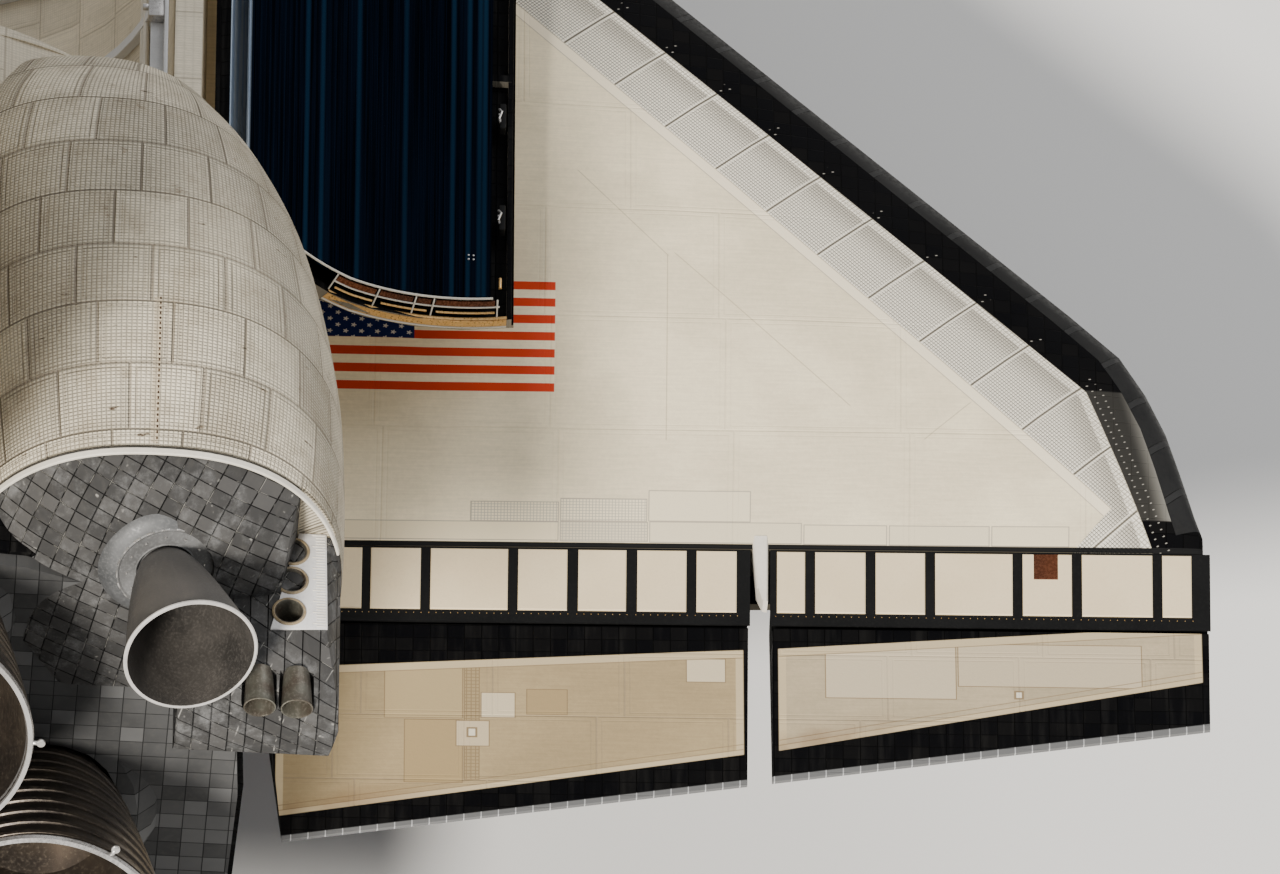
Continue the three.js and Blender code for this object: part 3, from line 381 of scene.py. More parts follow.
skinTones = {
    "felt": (0.87, 0.755, 0.53, 1),
    "blanket": (0.82, 0.735, 0.575, 1),
    "edgeQuilt": (0.90, 0.84, 0.71, 1),
    "strip": (0.90, 0.79, 0.59, 1),
    "elevonFelt": (0.42, 0.32, 0.18, 1),
    "outerElevonFelt": (0.50, 0.41, 0.27, 1),
}


def startMaterial(name):
    material = bpy.data.materials.new(name)
    material.use_nodes = True
    drawing["tree"] = material.node_tree
    drawing["surface"] = material.node_tree.nodes["Principled BSDF"].inputs
    return material


def dress(colour, roughness, height, strength, deep=0.004, metal=0.0, shine=0.5):
    surface = drawing["surface"]
    fill(surface["Base Color"], colour)
    fill(surface["Roughness"], roughness)
    fill(surface["Metallic"], metal)
    fill(surface["Specular IOR Level"], shine)
    bump = addNode("Bump", {}, {"Height": height, "Strength": strength, "Distance": deep})
    fill(surface["Normal"], bump.outputs[0])


def above(value, limit, softness=0.3):
    return ramp(value, limit - softness, limit + softness)


def upward():
    # How far the surface looks up, from -1 to 1
    normal = addNode("TexCoord").outputs["Normal"]
    return addNode("SeparateXYZ", {}, {0: normal}).outputs["Z"]


def facingUp(limit, softness=0.1):
    return above(upward(), limit, softness)


def below(value, limit, softness=0.3):
    return ramp(value, limit - softness, limit + softness, 1.0, 0.0)


def allOf(*masks):
    return reduce(times, masks)


def anyOf(*masks):
    return reduce(most, masks)


def without(mask):
    return minus(1.0, mask)


def line(x, y, fromPoint, toPoint):
    # Distance to the left of a line in plan, negative to its right
    dx, dy = toPoint[0] - fromPoint[0], toPoint[1] - fromPoint[1]
    length = math.hypot(dx, dy)
    nx, ny = -dy / length, dx / length
    partly = timesPlus(x, nx, -(nx * fromPoint[0] + ny * fromPoint[1]))
    return timesPlus(y, ny, partly)


skinDefaults = {
    "tile": 6.0,
    "tileTone": (0.0016, 0.0016, 0.0022, 1),
    "wornTile": (0.0055, 0.0052, 0.0052, 1),
    "jointTone": (0.0006, 0.0006, 0.0006, 1),
    "wear": 0.3,
}
skinLabels = {
    "width": "Width",
    "length": "Length",
    "stitch": "Stitch",
    "stitching": "Stitching",
    "seamTone": "Seam tone",
    "colour": "Blanket",
    "tile": "Tile size",
    "tileTone": "Tile",
    "wornTile": "Worn tile",
    "jointTone": "Joint tone",
    "wear": "Wear",
}


def skinMaterial(name, look, white, across, along, overlay=None, relief=None):
    material = startMaterial(name)
    where = positions()
    settings = dict(skinDefaults, **look)
    sockets = {label: settings[key] for key, label in skinLabels.items()}
    sockets.update({"White": white(where), "Across": across(where), "Along": along(where)})
    skin = useGroup("outer skin", sockets)
    colour = overlay(where, skin["Colour"]) if overlay else skin["Colour"]
    height = plus(skin["Height"], relief(where)) if relief else skin["Height"]
    dress(colour, skin["Roughness"], height, look["relief"], 0.012, shine=0.04)
    return material


def aroundAxis(midY, midZ, radius):
    # Distance round a body, measured as an angle at an axis
    def coordinate(where):
        offY = minus(spanY(where), midY)
        offZ = minus(where["Z"], midZ)
        return times(maths("ARCTAN2", offZ, offY), radius)

    return coordinate


def stationX(where):
    return where["X"]


def stationY(where):
    return where["Y"]


def stationZ(where):
    return where["Z"]


def spanY(where):
    return absolute(where["Y"])


# Wing

wingFinish = {
    "edgeLine": ((1123.2, 249.6), (1295.2, 422.3)),  # outer edge of the sewn band, in plan
    "tipLine": ((1295.2, 422.3), (1360.9, 444.5)),
    "strakeLine": ((620, 116), (1062, 188)),
    "feltLine": ((1153.6, 244.3), (1346.2, 430.6)),  # its inner edge
    "feltTip": ((1346.2, 430.6), (1362.5, 418.0)),
    "flag": {"rear": 1301.2, "front": 1254.9, "inboard": 124.0, "outboard": 234.2, "stripes": 13},
    "tipPatch": {  # bare grey tiles beside the tip, from their front to their outer edge
        "front": ((1293.0, 444.0), (1294.0, 428.0)),
        "outer": ((1352.4, 458.5), (1293.0, 446.0)),
        "rear": 1351.0,
        "tone": (0.30, 0.285, 0.25, 1),
    },
    "patches": (  # edges, tone, whether it is stitched
        ((1345.5, 1353.5, 205.4, 236.6), (0.81, 0.71, 0.505, 1), True),
        ((1344.0, 1353.2, 237.0, 267.6), (0.82, 0.72, 0.515, 1), True),
        ((1340.6, 1353.0, 268.0, 304.0), (0.80, 0.70, 0.495, 1), False),
        ((1353.4, 1361.0, 128.0, 236.6), (0.78, 0.67, 0.46, 1), False),
        ((1353.2, 1361.2, 237.0, 268.0), (0.69, 0.605, 0.44, 1), True),
        ((1353.0, 1361.4, 268.4, 322.0), (0.74, 0.65, 0.46, 1), False),
        ((1353.6, 1361.6, 322.6, 352.0), (0.78, 0.68, 0.475, 1), False),
        ((1353.6, 1361.6, 352.6, 388.0), (0.74, 0.65, 0.46, 1), False),
        ((1353.6, 1361.6, 388.6, 416.0), (0.78, 0.68, 0.475, 1), False),
    ),
    "creases": (
        ((1240.8, 276.3), (1305.2, 338.7)),
        ((1241.9, 273.8), (1320.3, 273.9)),
        ((1318.8, 364.8), (1302.6, 381.3)),
        ((1205.2, 241.6), (1242.3, 274.2)),
    ),
    "fasteners": (2.4, 5.6),  # rows outboard of the white
    "patchDimpleShade": (0.42, 0.38, 0.31, 1),
    "patchSeam": (0.40, 0.35, 0.28, 1),
    "stitch": 1.15,
    "segment": {"from": 15.0, "pitch": 26.0},  # of the sewn band, along it
    "bandShade": (0.30, 0.27, 0.22, 1),
    "bandDimpleShade": (0.13, 0.12, 0.10, 1),
    "foldDimpleShade": (0.40, 0.36, 0.29, 1),
    "bandSeam": (0.14, 0.125, 0.10, 1),
    "stripSeam": (0.36, 0.31, 0.25, 1),
    "creaseShade": (0.33, 0.27, 0.18, 1),
    "fastenerTone": (0.36, 0.34, 0.30, 1),
    "fastenerPitch": 5.2,
    "cantonY": 184.5,
    "cantonX": 1279.8,
    "red": (0.55, 0.05, 0.022, 1),
    "blue": (0.01, 0.02, 0.09, 1),
    "stars": (5.0, 5.62),  # spacing of the stars
}


def inboardOf(where, name):
    # How far inboard of one of the wing's lines, in plan
    return times(line(where["X"], spanY(where), *wingFinish[name]), -1.0)


def wingWhite(where):
    top = facingUp(0.0)
    edge = above(inboardOf(where, "edgeLine"), 0.0)
    tip = above(inboardOf(where, "tipLine"), 0.0)
    strake = above(inboardOf(where, "strakeLine"), 0.0)
    strake = allOf(strake, below(spanY(where), 200.0))
    return allOf(top, tip, anyOf(edge, strake))


def rectangle(x, y, edges, softness=0.12):
    x0, x1, y0, y1 = edges
    return allOf(
        above(x, x0, softness),
        below(x, x1, softness),
        above(y, y0, softness),
        below(y, y1, softness),
    )


def patchesOver(colour, where, patches, white, pitch, dark, edgeTone):
    # Sewn-on patches: each with its own tone, and a thin darker seam round it
    x, y = where["X"], spanY(where)
    for edges, tone, isStitched in patches:
        if isStitched:
            tone = stitched(x, y, pitch, tone, dark)
        x0, x1, y0, y1 = edges
        whole = rectangle(x, y, edges)
        inner = rectangle(x, y, (x0 + 0.35, x1 - 0.35, y0 + 0.35, y1 - 0.35))
        drawn = mixColours(inner, mixColours(whole, colour, edgeTone), tone)
        colour = mixColours(white, colour, drawn)
    return colour


def stitched(across, along, pitch, light, dark):
    # A fine stitched grid in two tones; the dark tone is painted shade in the dimples between the puffs
    return mixColours(ramp(least(*waves((across, along), pitch)), 0.05, 0.6), dark, light)


def bandAlong(where, origin=(0.0, 0.0)):
    # Distance along the sewn band behind the leading edge
    (x0, y0), (x1, y1) = wingFinish["feltLine"]
    dx, dy = x1 - x0, y1 - y0
    length = math.hypot(dx, dy)
    start = -(origin[0] * dx + origin[1] * dy) / length
    return timesPlus(spanY(where), dy / length, timesPlus(where["X"], dx / length, start))


def bandArea(where, inner):
    return anyOf(below(inner, 0.0), wingTip(where))


def bandOver(where, colour, white, along, seam):
    # The sewn band in segments, its folded outer edge, and the strip of cloth along its inner edge
    inner = inboardOf(where, "feltLine")
    outer = least(inboardOf(where, "edgeLine"), inboardOf(where, "tipLine"))
    quilt = skinTones["edgeQuilt"]
    # Darker towards the folded outer edge: painted shade
    cloth = mixColours(ramp(outer, 3.4, 15.0, 0.45, 1.0), wingFinish["bandShade"], quilt)
    # The dark tone of these stitched grids is painted shade in their dimples
    sewn = stitched(inner, along, wingFinish["stitch"], cloth, wingFinish["bandDimpleShade"])
    fold = stitched(inner, along, 1.5, quilt, wingFinish["foldDimpleShade"])
    sewn = mixColours(below(outer, 3.2, 0.3), sewn, fold)
    sewn = mixColours(ramp(seam, 0.45, 0.46, 0.0, 0.7), sewn, quilt)
    sewn = mixColours(ramp(seam, 0.48, 0.49), sewn, wingFinish["bandSeam"])
    colour = mixColours(allOf(white, bandArea(where, inner)), colour, sewn)
    strip = allOf(white, ramp(inner, 0.0, 0.2), below(inner, 4.2), without(wingTip(where)))
    border = ramp(distance(inner, 2.1), 1.75, 1.95)
    return mixColours(strip, colour, mixColours(border, skinTones["strip"], wingFinish["stripSeam"]))


def creasesOver(where, colour, white):
    # Thin dark lines along the creases of the white blankets: painted shade in the folds
    x, y = where["X"], spanY(where)
    for start, end in wingFinish["creases"]:
        away = absolute(line(x, y, start, end))
        (x0, x1), (y0, y1) = (sorted(pair) for pair in zip(start, end))
        reach = rectangle(x, y, (x0, x1, y0 - 1, y1 + 1), 0.5)
        drawn = allOf(white, reach, ramp(away, 0.1, 0.3, 0.5, 0.0))
        colour = mixColours(drawn, colour, wingFinish["creaseShade"])
    return colour


def tipPatchOver(where, colour, white):
    x, y = where["X"], spanY(where)
    patch = wingFinish["tipPatch"]
    front, outer = line(x, y, *patch["front"]), line(x, y, *patch["outer"])
    area = allOf(facingUp(0.3, 0.2), without(white), above(front, 0.0, 0.5), above(outer, 0.0, 0.5))
    area = times(area, below(x, patch["rear"], 0.4))
    return mixColours(times(area, ramp(outer, 2.0, 13.0, 1.0, 0.1)), colour, patch["tone"])


def fastenersOver(where, colour, along, seam):
    # Rows of pale spots on the dark tiles, near the seams of the band and all along the tip
    x = where["X"]
    pitch = wingFinish["fastenerPitch"]
    fromWhite = least(most(inboardOf(where, "tipLine"), -20.0), inboardOf(where, "edgeLine"))
    step = times(distance(fraction(over(plus(along, x), pitch)), 0.5), pitch)
    for offset in wingFinish["fasteners"]:
        away = hypotenuse(plus(fromWhite, offset), step)
        spot = allOf(below(away, 0.42, 0.12), anyOf(above(x, 1293.0), above(seam, 0.43, 0.01)))
        colour = mixColours(times(allOf(spot, facingUp(0.2)), 0.8), colour, wingFinish["fastenerTone"])
    return colour


def wingOverlay(hasFlag):
    def overlay(where, colour):
        white = wingWhite(where)
        along = bandAlong(where, wingFinish["feltLine"][0])
        segment = wingFinish["segment"]
        seam = distance(fraction(over(minus(along, segment["from"]), segment["pitch"])), 0.5)
        colour = bandOver(where, colour, white, along, seam)
        colour = creasesOver(where, colour, white)
        # The patches' stitched grid also carries painted shade in its dimples
        grid, border = wingFinish["patchDimpleShade"], wingFinish["patchSeam"]
        colour = patchesOver(colour, where, wingFinish["patches"], white, wingFinish["stitch"], grid, border)
        cove = allOf(above(where["X"], 1361.6, 0.2), facingUp(0.0))
        colour = mixColours(cove, colour, grey(0.012))
        colour = tipPatchOver(where, colour, white)
        colour = fastenersOver(where, colour, along, seam)
        return flagOver(where, colour) if hasFlag else colour

    return overlay


def wingRelief(where):
    # The sewn band stands up in small puffs
    inner = inboardOf(where, "feltLine")
    puff = times(least(*waves((inner, bandAlong(where)), wingFinish["stitch"])), 2.6)
    return allOf(wingWhite(where), bandArea(where, inner), puff)


def wingTip(where):
    # The last sewn panel, which runs back along the tip to the cove
    back = inboardOf(where, "feltTip")
    return allOf(below(back, 0.0), above(spanY(where), 415.0))


def flagOver(where, colour):
    flag = wingFinish["flag"]
    x, y = where["X"], where["Y"]
    area = rectangle(x, y, (flag["front"], flag["rear"], flag["inboard"], flag["outboard"]), 0.15)
    pitch = (flag["rear"] - flag["front"]) / flag["stripes"]
    rows = over(minus(x, flag["front"]), 2 * pitch)
    red = ramp(distance(fraction(rows), 0.25), 0.235, 0.265, 1.0, 0.0)
    canton = allOf(below(y, wingFinish["cantonY"], 0.15), below(x, wingFinish["cantonX"], 0.15))
    # Two grids of stars, shifted by half a spacing
    stars = []
    for shift in (0.0, 0.5):
        spots = []
        for value, spacing in zip((x, y), wingFinish["stars"]):
            cell = fraction(timesPlus(value, 1 / spacing, shift))
            spots.append(minus(cell, 0.5))
        away = hypotenuse(*spots)
        turn = times(maths("ARCTAN2", spots[0], spots[1]), 5.0)
        reach = timesPlus(maths("COSINE", turn), 0.05, 0.13)
        stars.append(ramp(minus(away, reach), -0.02, 0.02, 1.0, 0.0))
    cloth = mixColours(1.0, colour, (1.12, 1.12, 1.12, 1), "MULTIPLY")
    painted = mixColours(red, cloth, wingFinish["red"])
    blue = mixColours(anyOf(*stars), wingFinish["blue"], (0.6, 0.58, 0.55, 1))
    painted = mixColours(canton, painted, blue)
    return mixColours(area, colour, painted)


feltLook = {
    "width": 62.0,
    "length": 47.0,
    "stitch": 1.0,
    "stitching": 0.0,
    "seamTone": 0.08,
    "colour": skinTones["felt"],
    "relief": 0.35,
    "wear": 0.0,
}

quiltLook = {
    "width": 24.0,
    "length": 11.5,
    "stitch": 1.1,
    "stitching": 0.55,
    "seamTone": 0.75,
    "colour": skinTones["blanket"],
    "relief": 0.8,
    "wear": 0.55,
}


# Fuselage: dark belly that climbs towards the nose, dark surround of the windows, white above

fuselageFinish = {
    "belly": ((237, 396), (262, 372), (300, 350), (360, 330), (440, 314), (582, 300), (1528, 300)),
    "visor": {"front": 404, "rear": 480, "low": 388},
    "rear": 1512.0,
}


def fuselageWhite(where):
    edges = []
    belly = fuselageFinish["belly"]
    for (x0, z0), (x1, z1) in zip(belly, belly[1:]):
        slope = (z1 - z0) / (x1 - x0)
        edges.append(timesPlus(where["X"], slope, z0 - slope * x0))
    up = above(minus(where["Z"], anyOf(*edges)), 0.0, 0.6)
    visor = fuselageFinish["visor"]
    band = allOf(above(where["X"], visor["front"]), below(where["X"], visor["rear"]))
    dark = times(band, above(where["Z"], visor["low"]))
    return allOf(up, without(dark), below(where["X"], fuselageFinish["rear"]))


bodyLook = dict(quiltLook, width=30.0, length=22.0, stitching=0.35, seamTone=0.4, relief=0.5, wear=0.3)
roundBody = aroundAxis(0, 380, 100)
roundPod = aroundAxis(84, 450, 68)
roundDoor = aroundAxis(209.5, 448.2, 104)  # the axis of the door when it is open


podLook = dict(
    quiltLook,
    width=20.0,
    length=25.0,
    seamTone=0.65,
    stitch=1.35,
    stitching=0.8,
    relief=1.3,
    tile=6.0,
    # The rear tiles are far lighter than the black tiles elsewhere: painted sunlight on black tiles, with
    # real worn tiles among them
    tileTone=grey(0.042, 0.02),
    wornTile=grey(0.09, 0.03),
    jointTone=grey(0.014, 0.02),
    wear=0.6,
)
podFinish = {
    "edge": 1506.0,  # the blankets end and the dark tiles begin
    "slant": math.radians(32),  # of the rows of tiles
    "tape": (1448.0, 1505.0, 83.0, 85.6),
    "tapeTone": (0.56, 0.47, 0.34, 1),
    "burn": (0.055, 0.03, 0.018, 1),
    "scuff": (0.36, 0.36, 0.36, 1),
    "joint": (0.52, 0.50, 0.46, 1),
}


def always(value):
    return lambda where: value


def podWhite(where):
    return below(where["X"], podFinish["edge"], 0.4)


def podRows(turned):
    # Slanted rows over the rounded rear, drawn across the width and down the slope
    def coordinate(where):
        across = timesPlus(where["Z"], 0.35, spanY(where))
        down = times(minus(where["X"], where["Z"]), 0.8)
        c, s = math.cos(podFinish["slant"]), math.sin(podFinish["slant"])
        if turned:
            c, s = -s, c
        return timesPlus(down, s, times(across, c))

    return coordinate


def podAcross(where):
    return mixValues(podWhite(where), podRows(False)(where), roundPod(where))


def podAlong(where):
    return mixValues(podWhite(where), podRows(True)(where), where["X"])


def podOverlay(where, colour):
    # Brown burn marks and a stitched tape on the blankets, scuffs and bright worn joints on the tiles
    white = podWhite(where)
    dirt = weathering(where)
    place = spotOf(where)
    around = roundPod(where)
    streaks = vector(times(where["X"], 0.42), times(around, 0.14))
    burn = ramp(noise(streaks, 0.8, 2.0), 0.69, 0.745)
    burn = allOf(burn, ramp(dirt["Fine"], 0.2, 0.6, 0.3, 0.9), white)
    colour = mixColours(burn, colour, podFinish["burn"])
    haze = allOf(ramp(noise(place, 0.06, 5.0, 0.7), 0.42, 0.75, 0.0, 0.5), white)
    colour = mixColours(haze, colour, (0.33, 0.27, 0.19, 1))
    tape = allOf(rectangle(where["X"], spanY(where), podFinish["tape"]), white)
    colour = mixColours(times(tape, 0.8), colour, podFinish["tapeTone"])
    dash = fraction(over(where["X"], 2.1))
    offset = distance(spanY(where), podFinish["tape"][3] - 0.5)
    dash = allOf(tape, above(dash, 0.5, 0.05), below(offset, 0.3, 0.1))
    colour = mixColours(dash, colour, podFinish["burn"])
    rows = {"Across": podRows(False)(where), "Along": podRows(True)(where)}
    tiles = useGroup("tile rows", dict(rows, Size=podLook["tile"], Seed=3.0))
    dark = without(white)
    scuff = ramp(noise(place, 0.06, 6.0, 0.8), 0.46, 0.78, 0.0, 0.42)
    colour = mixColours(allOf(dark, scuff), colour, podFinish["scuff"])
    speck = ramp(noise(place, 0.25, 2.0), 0.68, 0.78, 0.0, 0.5)
    colour = mixColours(allOf(dark, speck), colour, podFinish["joint"])
    broken = ramp(noise(place, 0.16, 2.0), 0.52, 0.66)
    bright = allOf(dark, tiles["Joint"], broken)
    return mixColours(times(bright, 0.5), colour, podFinish["joint"])


elevonFinish = {
    "inboard": {"front": ((1417.3, 162.0), (1408.3, 301.3)), "rear": ((1487.8, 138.4), (1456.6, 301.2))},
    "outboard": {"front": ((1407.5, 313.6), (1395.0, 459.1)), "rear": ((1454.5, 313.8), (1419.8, 464.8))},
    "limits": {"inboard": (138.5, 301.4), "outboard": (313.8, 462.0)},
    "border": (0.56, 0.45, 0.28, 1),
    "line": (0.25, 0.18, 0.10, 1),
    "patches": {
        "inboard": (
            ((1417.2, 1441.6, 176.0, 203.6), (0.44, 0.335, 0.185, 1), False),
            ((1442.0, 1471.5, 183.0, 203.6), (0.395, 0.29, 0.15, 1), False),
            ((1417.4, 1470.0, 203.9, 209.4), (0.37, 0.28, 0.155, 1), True),
            ((1429.2, 1441.2, 209.7, 221.9), (0.64, 0.54, 0.37, 1), False),
            ((1412.4, 1423.5, 281.4, 295.4), (0.64, 0.54, 0.37, 1), False),
            ((1442.4, 1454.5, 201.0, 212.9), (0.58, 0.47, 0.31, 1), False),
            ((1427.5, 1439.5, 225.6, 240.1), (0.375, 0.275, 0.145, 1), False),
            ((1445.6, 1450.3, 204.8, 208.6), (0.30, 0.25, 0.17, 1), False),
            ((1446.0, 1449.9, 205.2, 208.2), (0.74, 0.67, 0.53, 1), False),
        ),
        "outboard": (
            ((1405.0, 1430.0, 330.0, 376.0), (0.58, 0.485, 0.34, 1), False),
            ((1404.0, 1424.0, 376.4, 441.0), (0.55, 0.455, 0.315, 1), False),
            ((1425.6, 1429.6, 396.0, 399.4), (0.30, 0.25, 0.17, 1), False),
            ((1426.0, 1429.2, 396.4, 399.0), (0.74, 0.67, 0.53, 1), False),
        ),
    },
}


def elevonLines(where, span):
    lines = elevonFinish[span]
    y = spanY(where)
    front = times(line(where["X"], y, *lines["front"]), -1.0)
    rear = line(where["X"], y, *lines["rear"])
    return front, rear


def elevonWhite(span):
    def white(where):
        y = spanY(where)
        low, high = elevonFinish["limits"][span]
        front, rear = elevonLines(where, span)
        top = facingUp(0.3)
        return allOf(top, above(front, 0.0), above(rear, 0.0), above(y, low), below(y, high))

    return white


def elevonOverlay(span):
    def overlay(where, colour):
        y = spanY(where)
        low, high = elevonFinish["limits"][span]
        white = elevonWhite(span)(where)
        front, rear = elevonLines(where, span)
        seamTone = elevonFinish["line"]
        # The stitched patch's grid is drawn in the seam tone: painted shade in its dimples
        colour = patchesOver(colour, where, elevonFinish["patches"][span], white, 1.6, seamTone, seamTone)
        # Folded border of brighter cloth along the front and the ends, and a thin one at the rear
        away = least(minus(y, low), minus(high, y))
        border = anyOf(below(front, 3.4, 0.15), below(away, 2.6, 0.15), below(rear, 2.2, 0.15))
        seam = distance(front, 3.5)
        seam = least(seam, distance(rear, 2.3))
        seam = least(seam, distance(rear, 4.6))
        colour = mixColours(allOf(white, border), colour, elevonFinish["border"])
        colour = mixColours(allOf(white, ramp(seam, 0.1, 0.3, 0.75, 0.0)), colour, elevonFinish["line"])
        # Scorched stain that grows towards the rear and the root
        stain = weathering(where)
        near = allOf(ramp(rear, 1.0, 14.0, 1.0, 0.0), ramp(y, low + 18.0, low + 70.0, 1.0, 0.0))
        burnt = times(near, ramp(stain["Broad"], 0.1, 0.9, 0.0, 0.5))
        colour = mixColours(allOf(white, burnt), colour, (0.13, 0.06, 0.025, 1))
        # Light grey rim along the trailing edge, ticked at every tile
        tick = fraction(over(y, 6.0))
        tick = ramp(distance(tick, 0.5), 0.46, 0.48)
        back = minus(1505.0, times(minus(y, 115.0), 0.1773))
        worn = above(minus(where["X"], back), -3.6, 0.3)
        rim = mixColours(tick, (0.15, 0.15, 0.15, 1), (0.5, 0.5, 0.5, 1))
        return mixColours(allOf(worn, without(white)), colour, rim)

    return overlay


hingeReflection = ((0.46, 0.60, 0.80, 1), (0.80, 0.89, 0.97, 1))


def lengthwise(where):
    # Soft streaks that run along the body
    return ramp(noise(vector(times(where["X"], 0.01), spanY(where)), 0.9, 3.0), 0.35, 0.65)


def doorWhite(where):
    # The inner side of an open door, dark composite, is the side that looks up
    return below(upward(), 0.05, 0.05)


def doorOverlay(where, colour):
    # The strip between the hinge and the radiator is painted pale blue: a painted reflection
    y = spanY(where)
    strip = allOf(facingUp(0.05, 0.05), above(y, 112.6, 0.3), below(y, 121.6, 0.4))
    return mixColours(strip, colour, mixColours(lengthwise(where), *hingeReflection))


def finWhite(where):
    # White sides and a dark leading edge
    fromLead = minus(where["X"], plus(where["Z"], 777.9))
    return above(fromLead, 9.0, 0.4)


elevonLook = dict(feltLook, colour=skinTones["elevonFelt"], width=46.0, length=30.0, seamTone=0.3, wear=0.15)
outerLook = dict(elevonLook, colour=skinTones["outerElevonFelt"])
finLook = dict(bodyLook, width=26.0, length=26.0)

baseLook = dict(bodyLook, tile=8.0, tileTone=grey(0.05), wornTile=grey(0.14), jointTone=grey(0.02), wear=0.5)

wingRows = (wingWhite, stationY, stationX)
inboardRows = (elevonWhite("inboard"), stationY, stationX)
outerRows = (elevonWhite("outboard"), stationY, stationX)

materials = {
    "wing_starboard": skinMaterial("felt and tile wing", feltLook, *wingRows, wingOverlay(True), wingRelief),
    "wing_port": skinMaterial("felt and tile wing port", feltLook, *wingRows, wingOverlay(False), wingRelief),
    "fuselage": skinMaterial("blanket and tile body", bodyLook, fuselageWhite, stationX, roundBody),
    # The pod's dark tiles carry painted sunlight from podLook
    "pod": skinMaterial("blanket and tile pod", podLook, podWhite, podAcross, podAlong, podOverlay),
    "pod_base": skinMaterial("worn base tile in painted sunlight", podLook, always(0.0), stationY, podAlong, podOverlay),
    "elevon_inboard": skinMaterial("felt elevon inboard", elevonLook, *inboardRows, elevonOverlay("inboard")),
    "elevon_outboard": skinMaterial("felt elevon outboard", outerLook, *outerRows, elevonOverlay("outboard")),
    "fin": skinMaterial("blanket fin", finLook, finWhite, stationX, stationZ),
    "rudder": skinMaterial("blanket rudder", finLook, always(1.0), stationX, stationZ),
    "tile": skinMaterial("dark tile", bodyLook, always(0.0), stationY, stationX),
    "base_tile": skinMaterial("grey base tile", baseLook, always(0.0), stationY, stationZ),
    "door": skinMaterial("blanket door", bodyLook, doorWhite, stationX, roundDoor, doorOverlay),
}


def plainFinish(name, colour, darker, worn, roughness, broad=1.4, metal=0.0, shine=0.5):
    # Painted, metal or rubber surface: mottled colour, wear and fine relief from noise
    material = startMaterial(name)
    place = objectPlace()
    fine = noise(place, 40.0, 3.0, 0.6)
    tone = mixColours(ramp(noise(place, broad, 4.0), 0.3, 0.7), colour, darker)
    tone = mixColours(ramp(fine, 0.45, 0.75, 0.0, 0.25), tone, worn)
    dress(tone, ramp(fine, 0.3, 0.7, *roughness), fine, 0.15, metal=metal, shine=shine)
    return material


def glassMaterial():
    material = startMaterial("dark window glass")
    surface = drawing["surface"]
    fill(surface["Roughness"], ramp(noise(objectPlace(), 6.0, 2.0), 0.3, 0.7, 0.04, 0.1))
    fill(surface["Base Color"], (0.01, 0.016, 0.022, 1))
    fill(surface["Coat Weight"], 0.6)
    fill(surface["IOR"], 1.5)
    return material


def mirrorMaterial():
    # Silvered film over the radiator, drawn with no shine: its dark blue is painted shade and dark
    # reflection, fine tubes run along it, and the bright strip at the hinge is a painted reflection
    material = startMaterial("radiator film with painted reflections")
    where = positions()
    y = spanY(where)
    pitch = 1.9
    (tubes,) = waves([y], pitch)
    fine = ramp(tubes, 0.0, 0.22, 1.0, 0.0)
    stripe = lengthwise(where)
    base = mixColours(stripe, (0.0012, 0.0018, 0.0035, 1), (0.0025, 0.0055, 0.012, 1))
    base = mixColours(times(fine, 0.3), base, (0.010, 0.022, 0.046, 1))
    # Blue lines where the film bends are painted reflections, most of them near the outer edge
    bend = addNode("TexWhiteNoise", {"noise_dimensions": "1D"}, {"W": maths("FLOOR", over(y, pitch))})
    outer = ramp(y, 135.0, 240.0, 0.86, 0.62)
    lines = above(minus(bend.outputs["Value"], outer), 0.0, 0.05)
    base = mixColours(allOf(lines, ramp(tubes, 0.1, 0.9, 0.35, 1.0)), base, (0.006, 0.020, 0.042, 1))
    # The bright strip at the hinge: a painted reflection
    base = mixColours(below(y, 119.5, 0.8), base, mixColours(stripe, *hingeReflection))
    dress(base, ramp(stripe, 0.0, 1.0, 0.12, 0.24), fine, 0.2, shine=0.0)
    return material


edgePanels = {"pitch": 19.5, "half": 8.4}  # along the edge, with a strip where a panel ends


def edgeMaterial():
    # Coated carbon of the leading edge, in panels with a narrow seal strip between them
    material = startMaterial("carbon edge panels in painted shade")
    where = positions()
    dirt = weathering(where)
    along = times(plus(where["X"], spanY(where)), 0.7071)
    pitch, half = edgePanels["pitch"], edgePanels["half"]
    away = times(distance(fraction(over(along, pitch)), 0.5), pitch)
    strip = above(away, half, 0.08)
    joint = ramp(distance(away, half), 0.05, 0.2, 1.0, 0.0)
    # Painted near black, far darker than the nose cap's carbon: painted shade
    colour = mixColours(dirt["Broad"], grey(0.006), grey(0.014))
    colour = mixColours(times(dirt["Fine"], 0.4), colour, grey(0.03, 0.03))
    colour = mixColours(times(strip, 0.6), colour, grey(0.03))
    colour = mixColours(joint, colour, grey(0.003))
    height = minus(times(strip, 0.4), joint)
    dress(colour, ramp(dirt["Fine"], 0.0, 1.0, 0.4, 0.62), height, 0.5, 0.01, shine=0.1)
    return material


def bellMaterial():
    # Stained metal of the bells
    material = startMaterial("cooled bell wall")
    place = objectPlace()
    fine = noise(place, 30.0, 3.0)
    stain = ramp(noise(place, 1.2, 4.0), 0.3, 0.7)
    colour = mixColours(stain, (0.13, 0.105, 0.08, 1), (0.055, 0.047, 0.042, 1))
    colour = mixColours(ramp(fine, 0.5, 0.8, 0.0, 0.35), colour, (0.32, 0.27, 0.2, 1))
    dress(colour, ramp(fine, 0.3, 0.7, 0.3, 0.5), fine, 0.2, metal=0.8)
    return material


def plainLook(name, colour, darker, worn, lowRough, highRough, broad=1.4, metal=0.0, shine=0.5):
    # Tones are greys, given as a value, or colours
    tones = [grey(tone) if isinstance(tone, float) else (*tone, 1) for tone in (colour, darker, worn)]
    return (name, *tones, (lowRough, highRough), broad, metal, shine)


def warm(value, warmth):
    return grey(value, warmth)[:3]


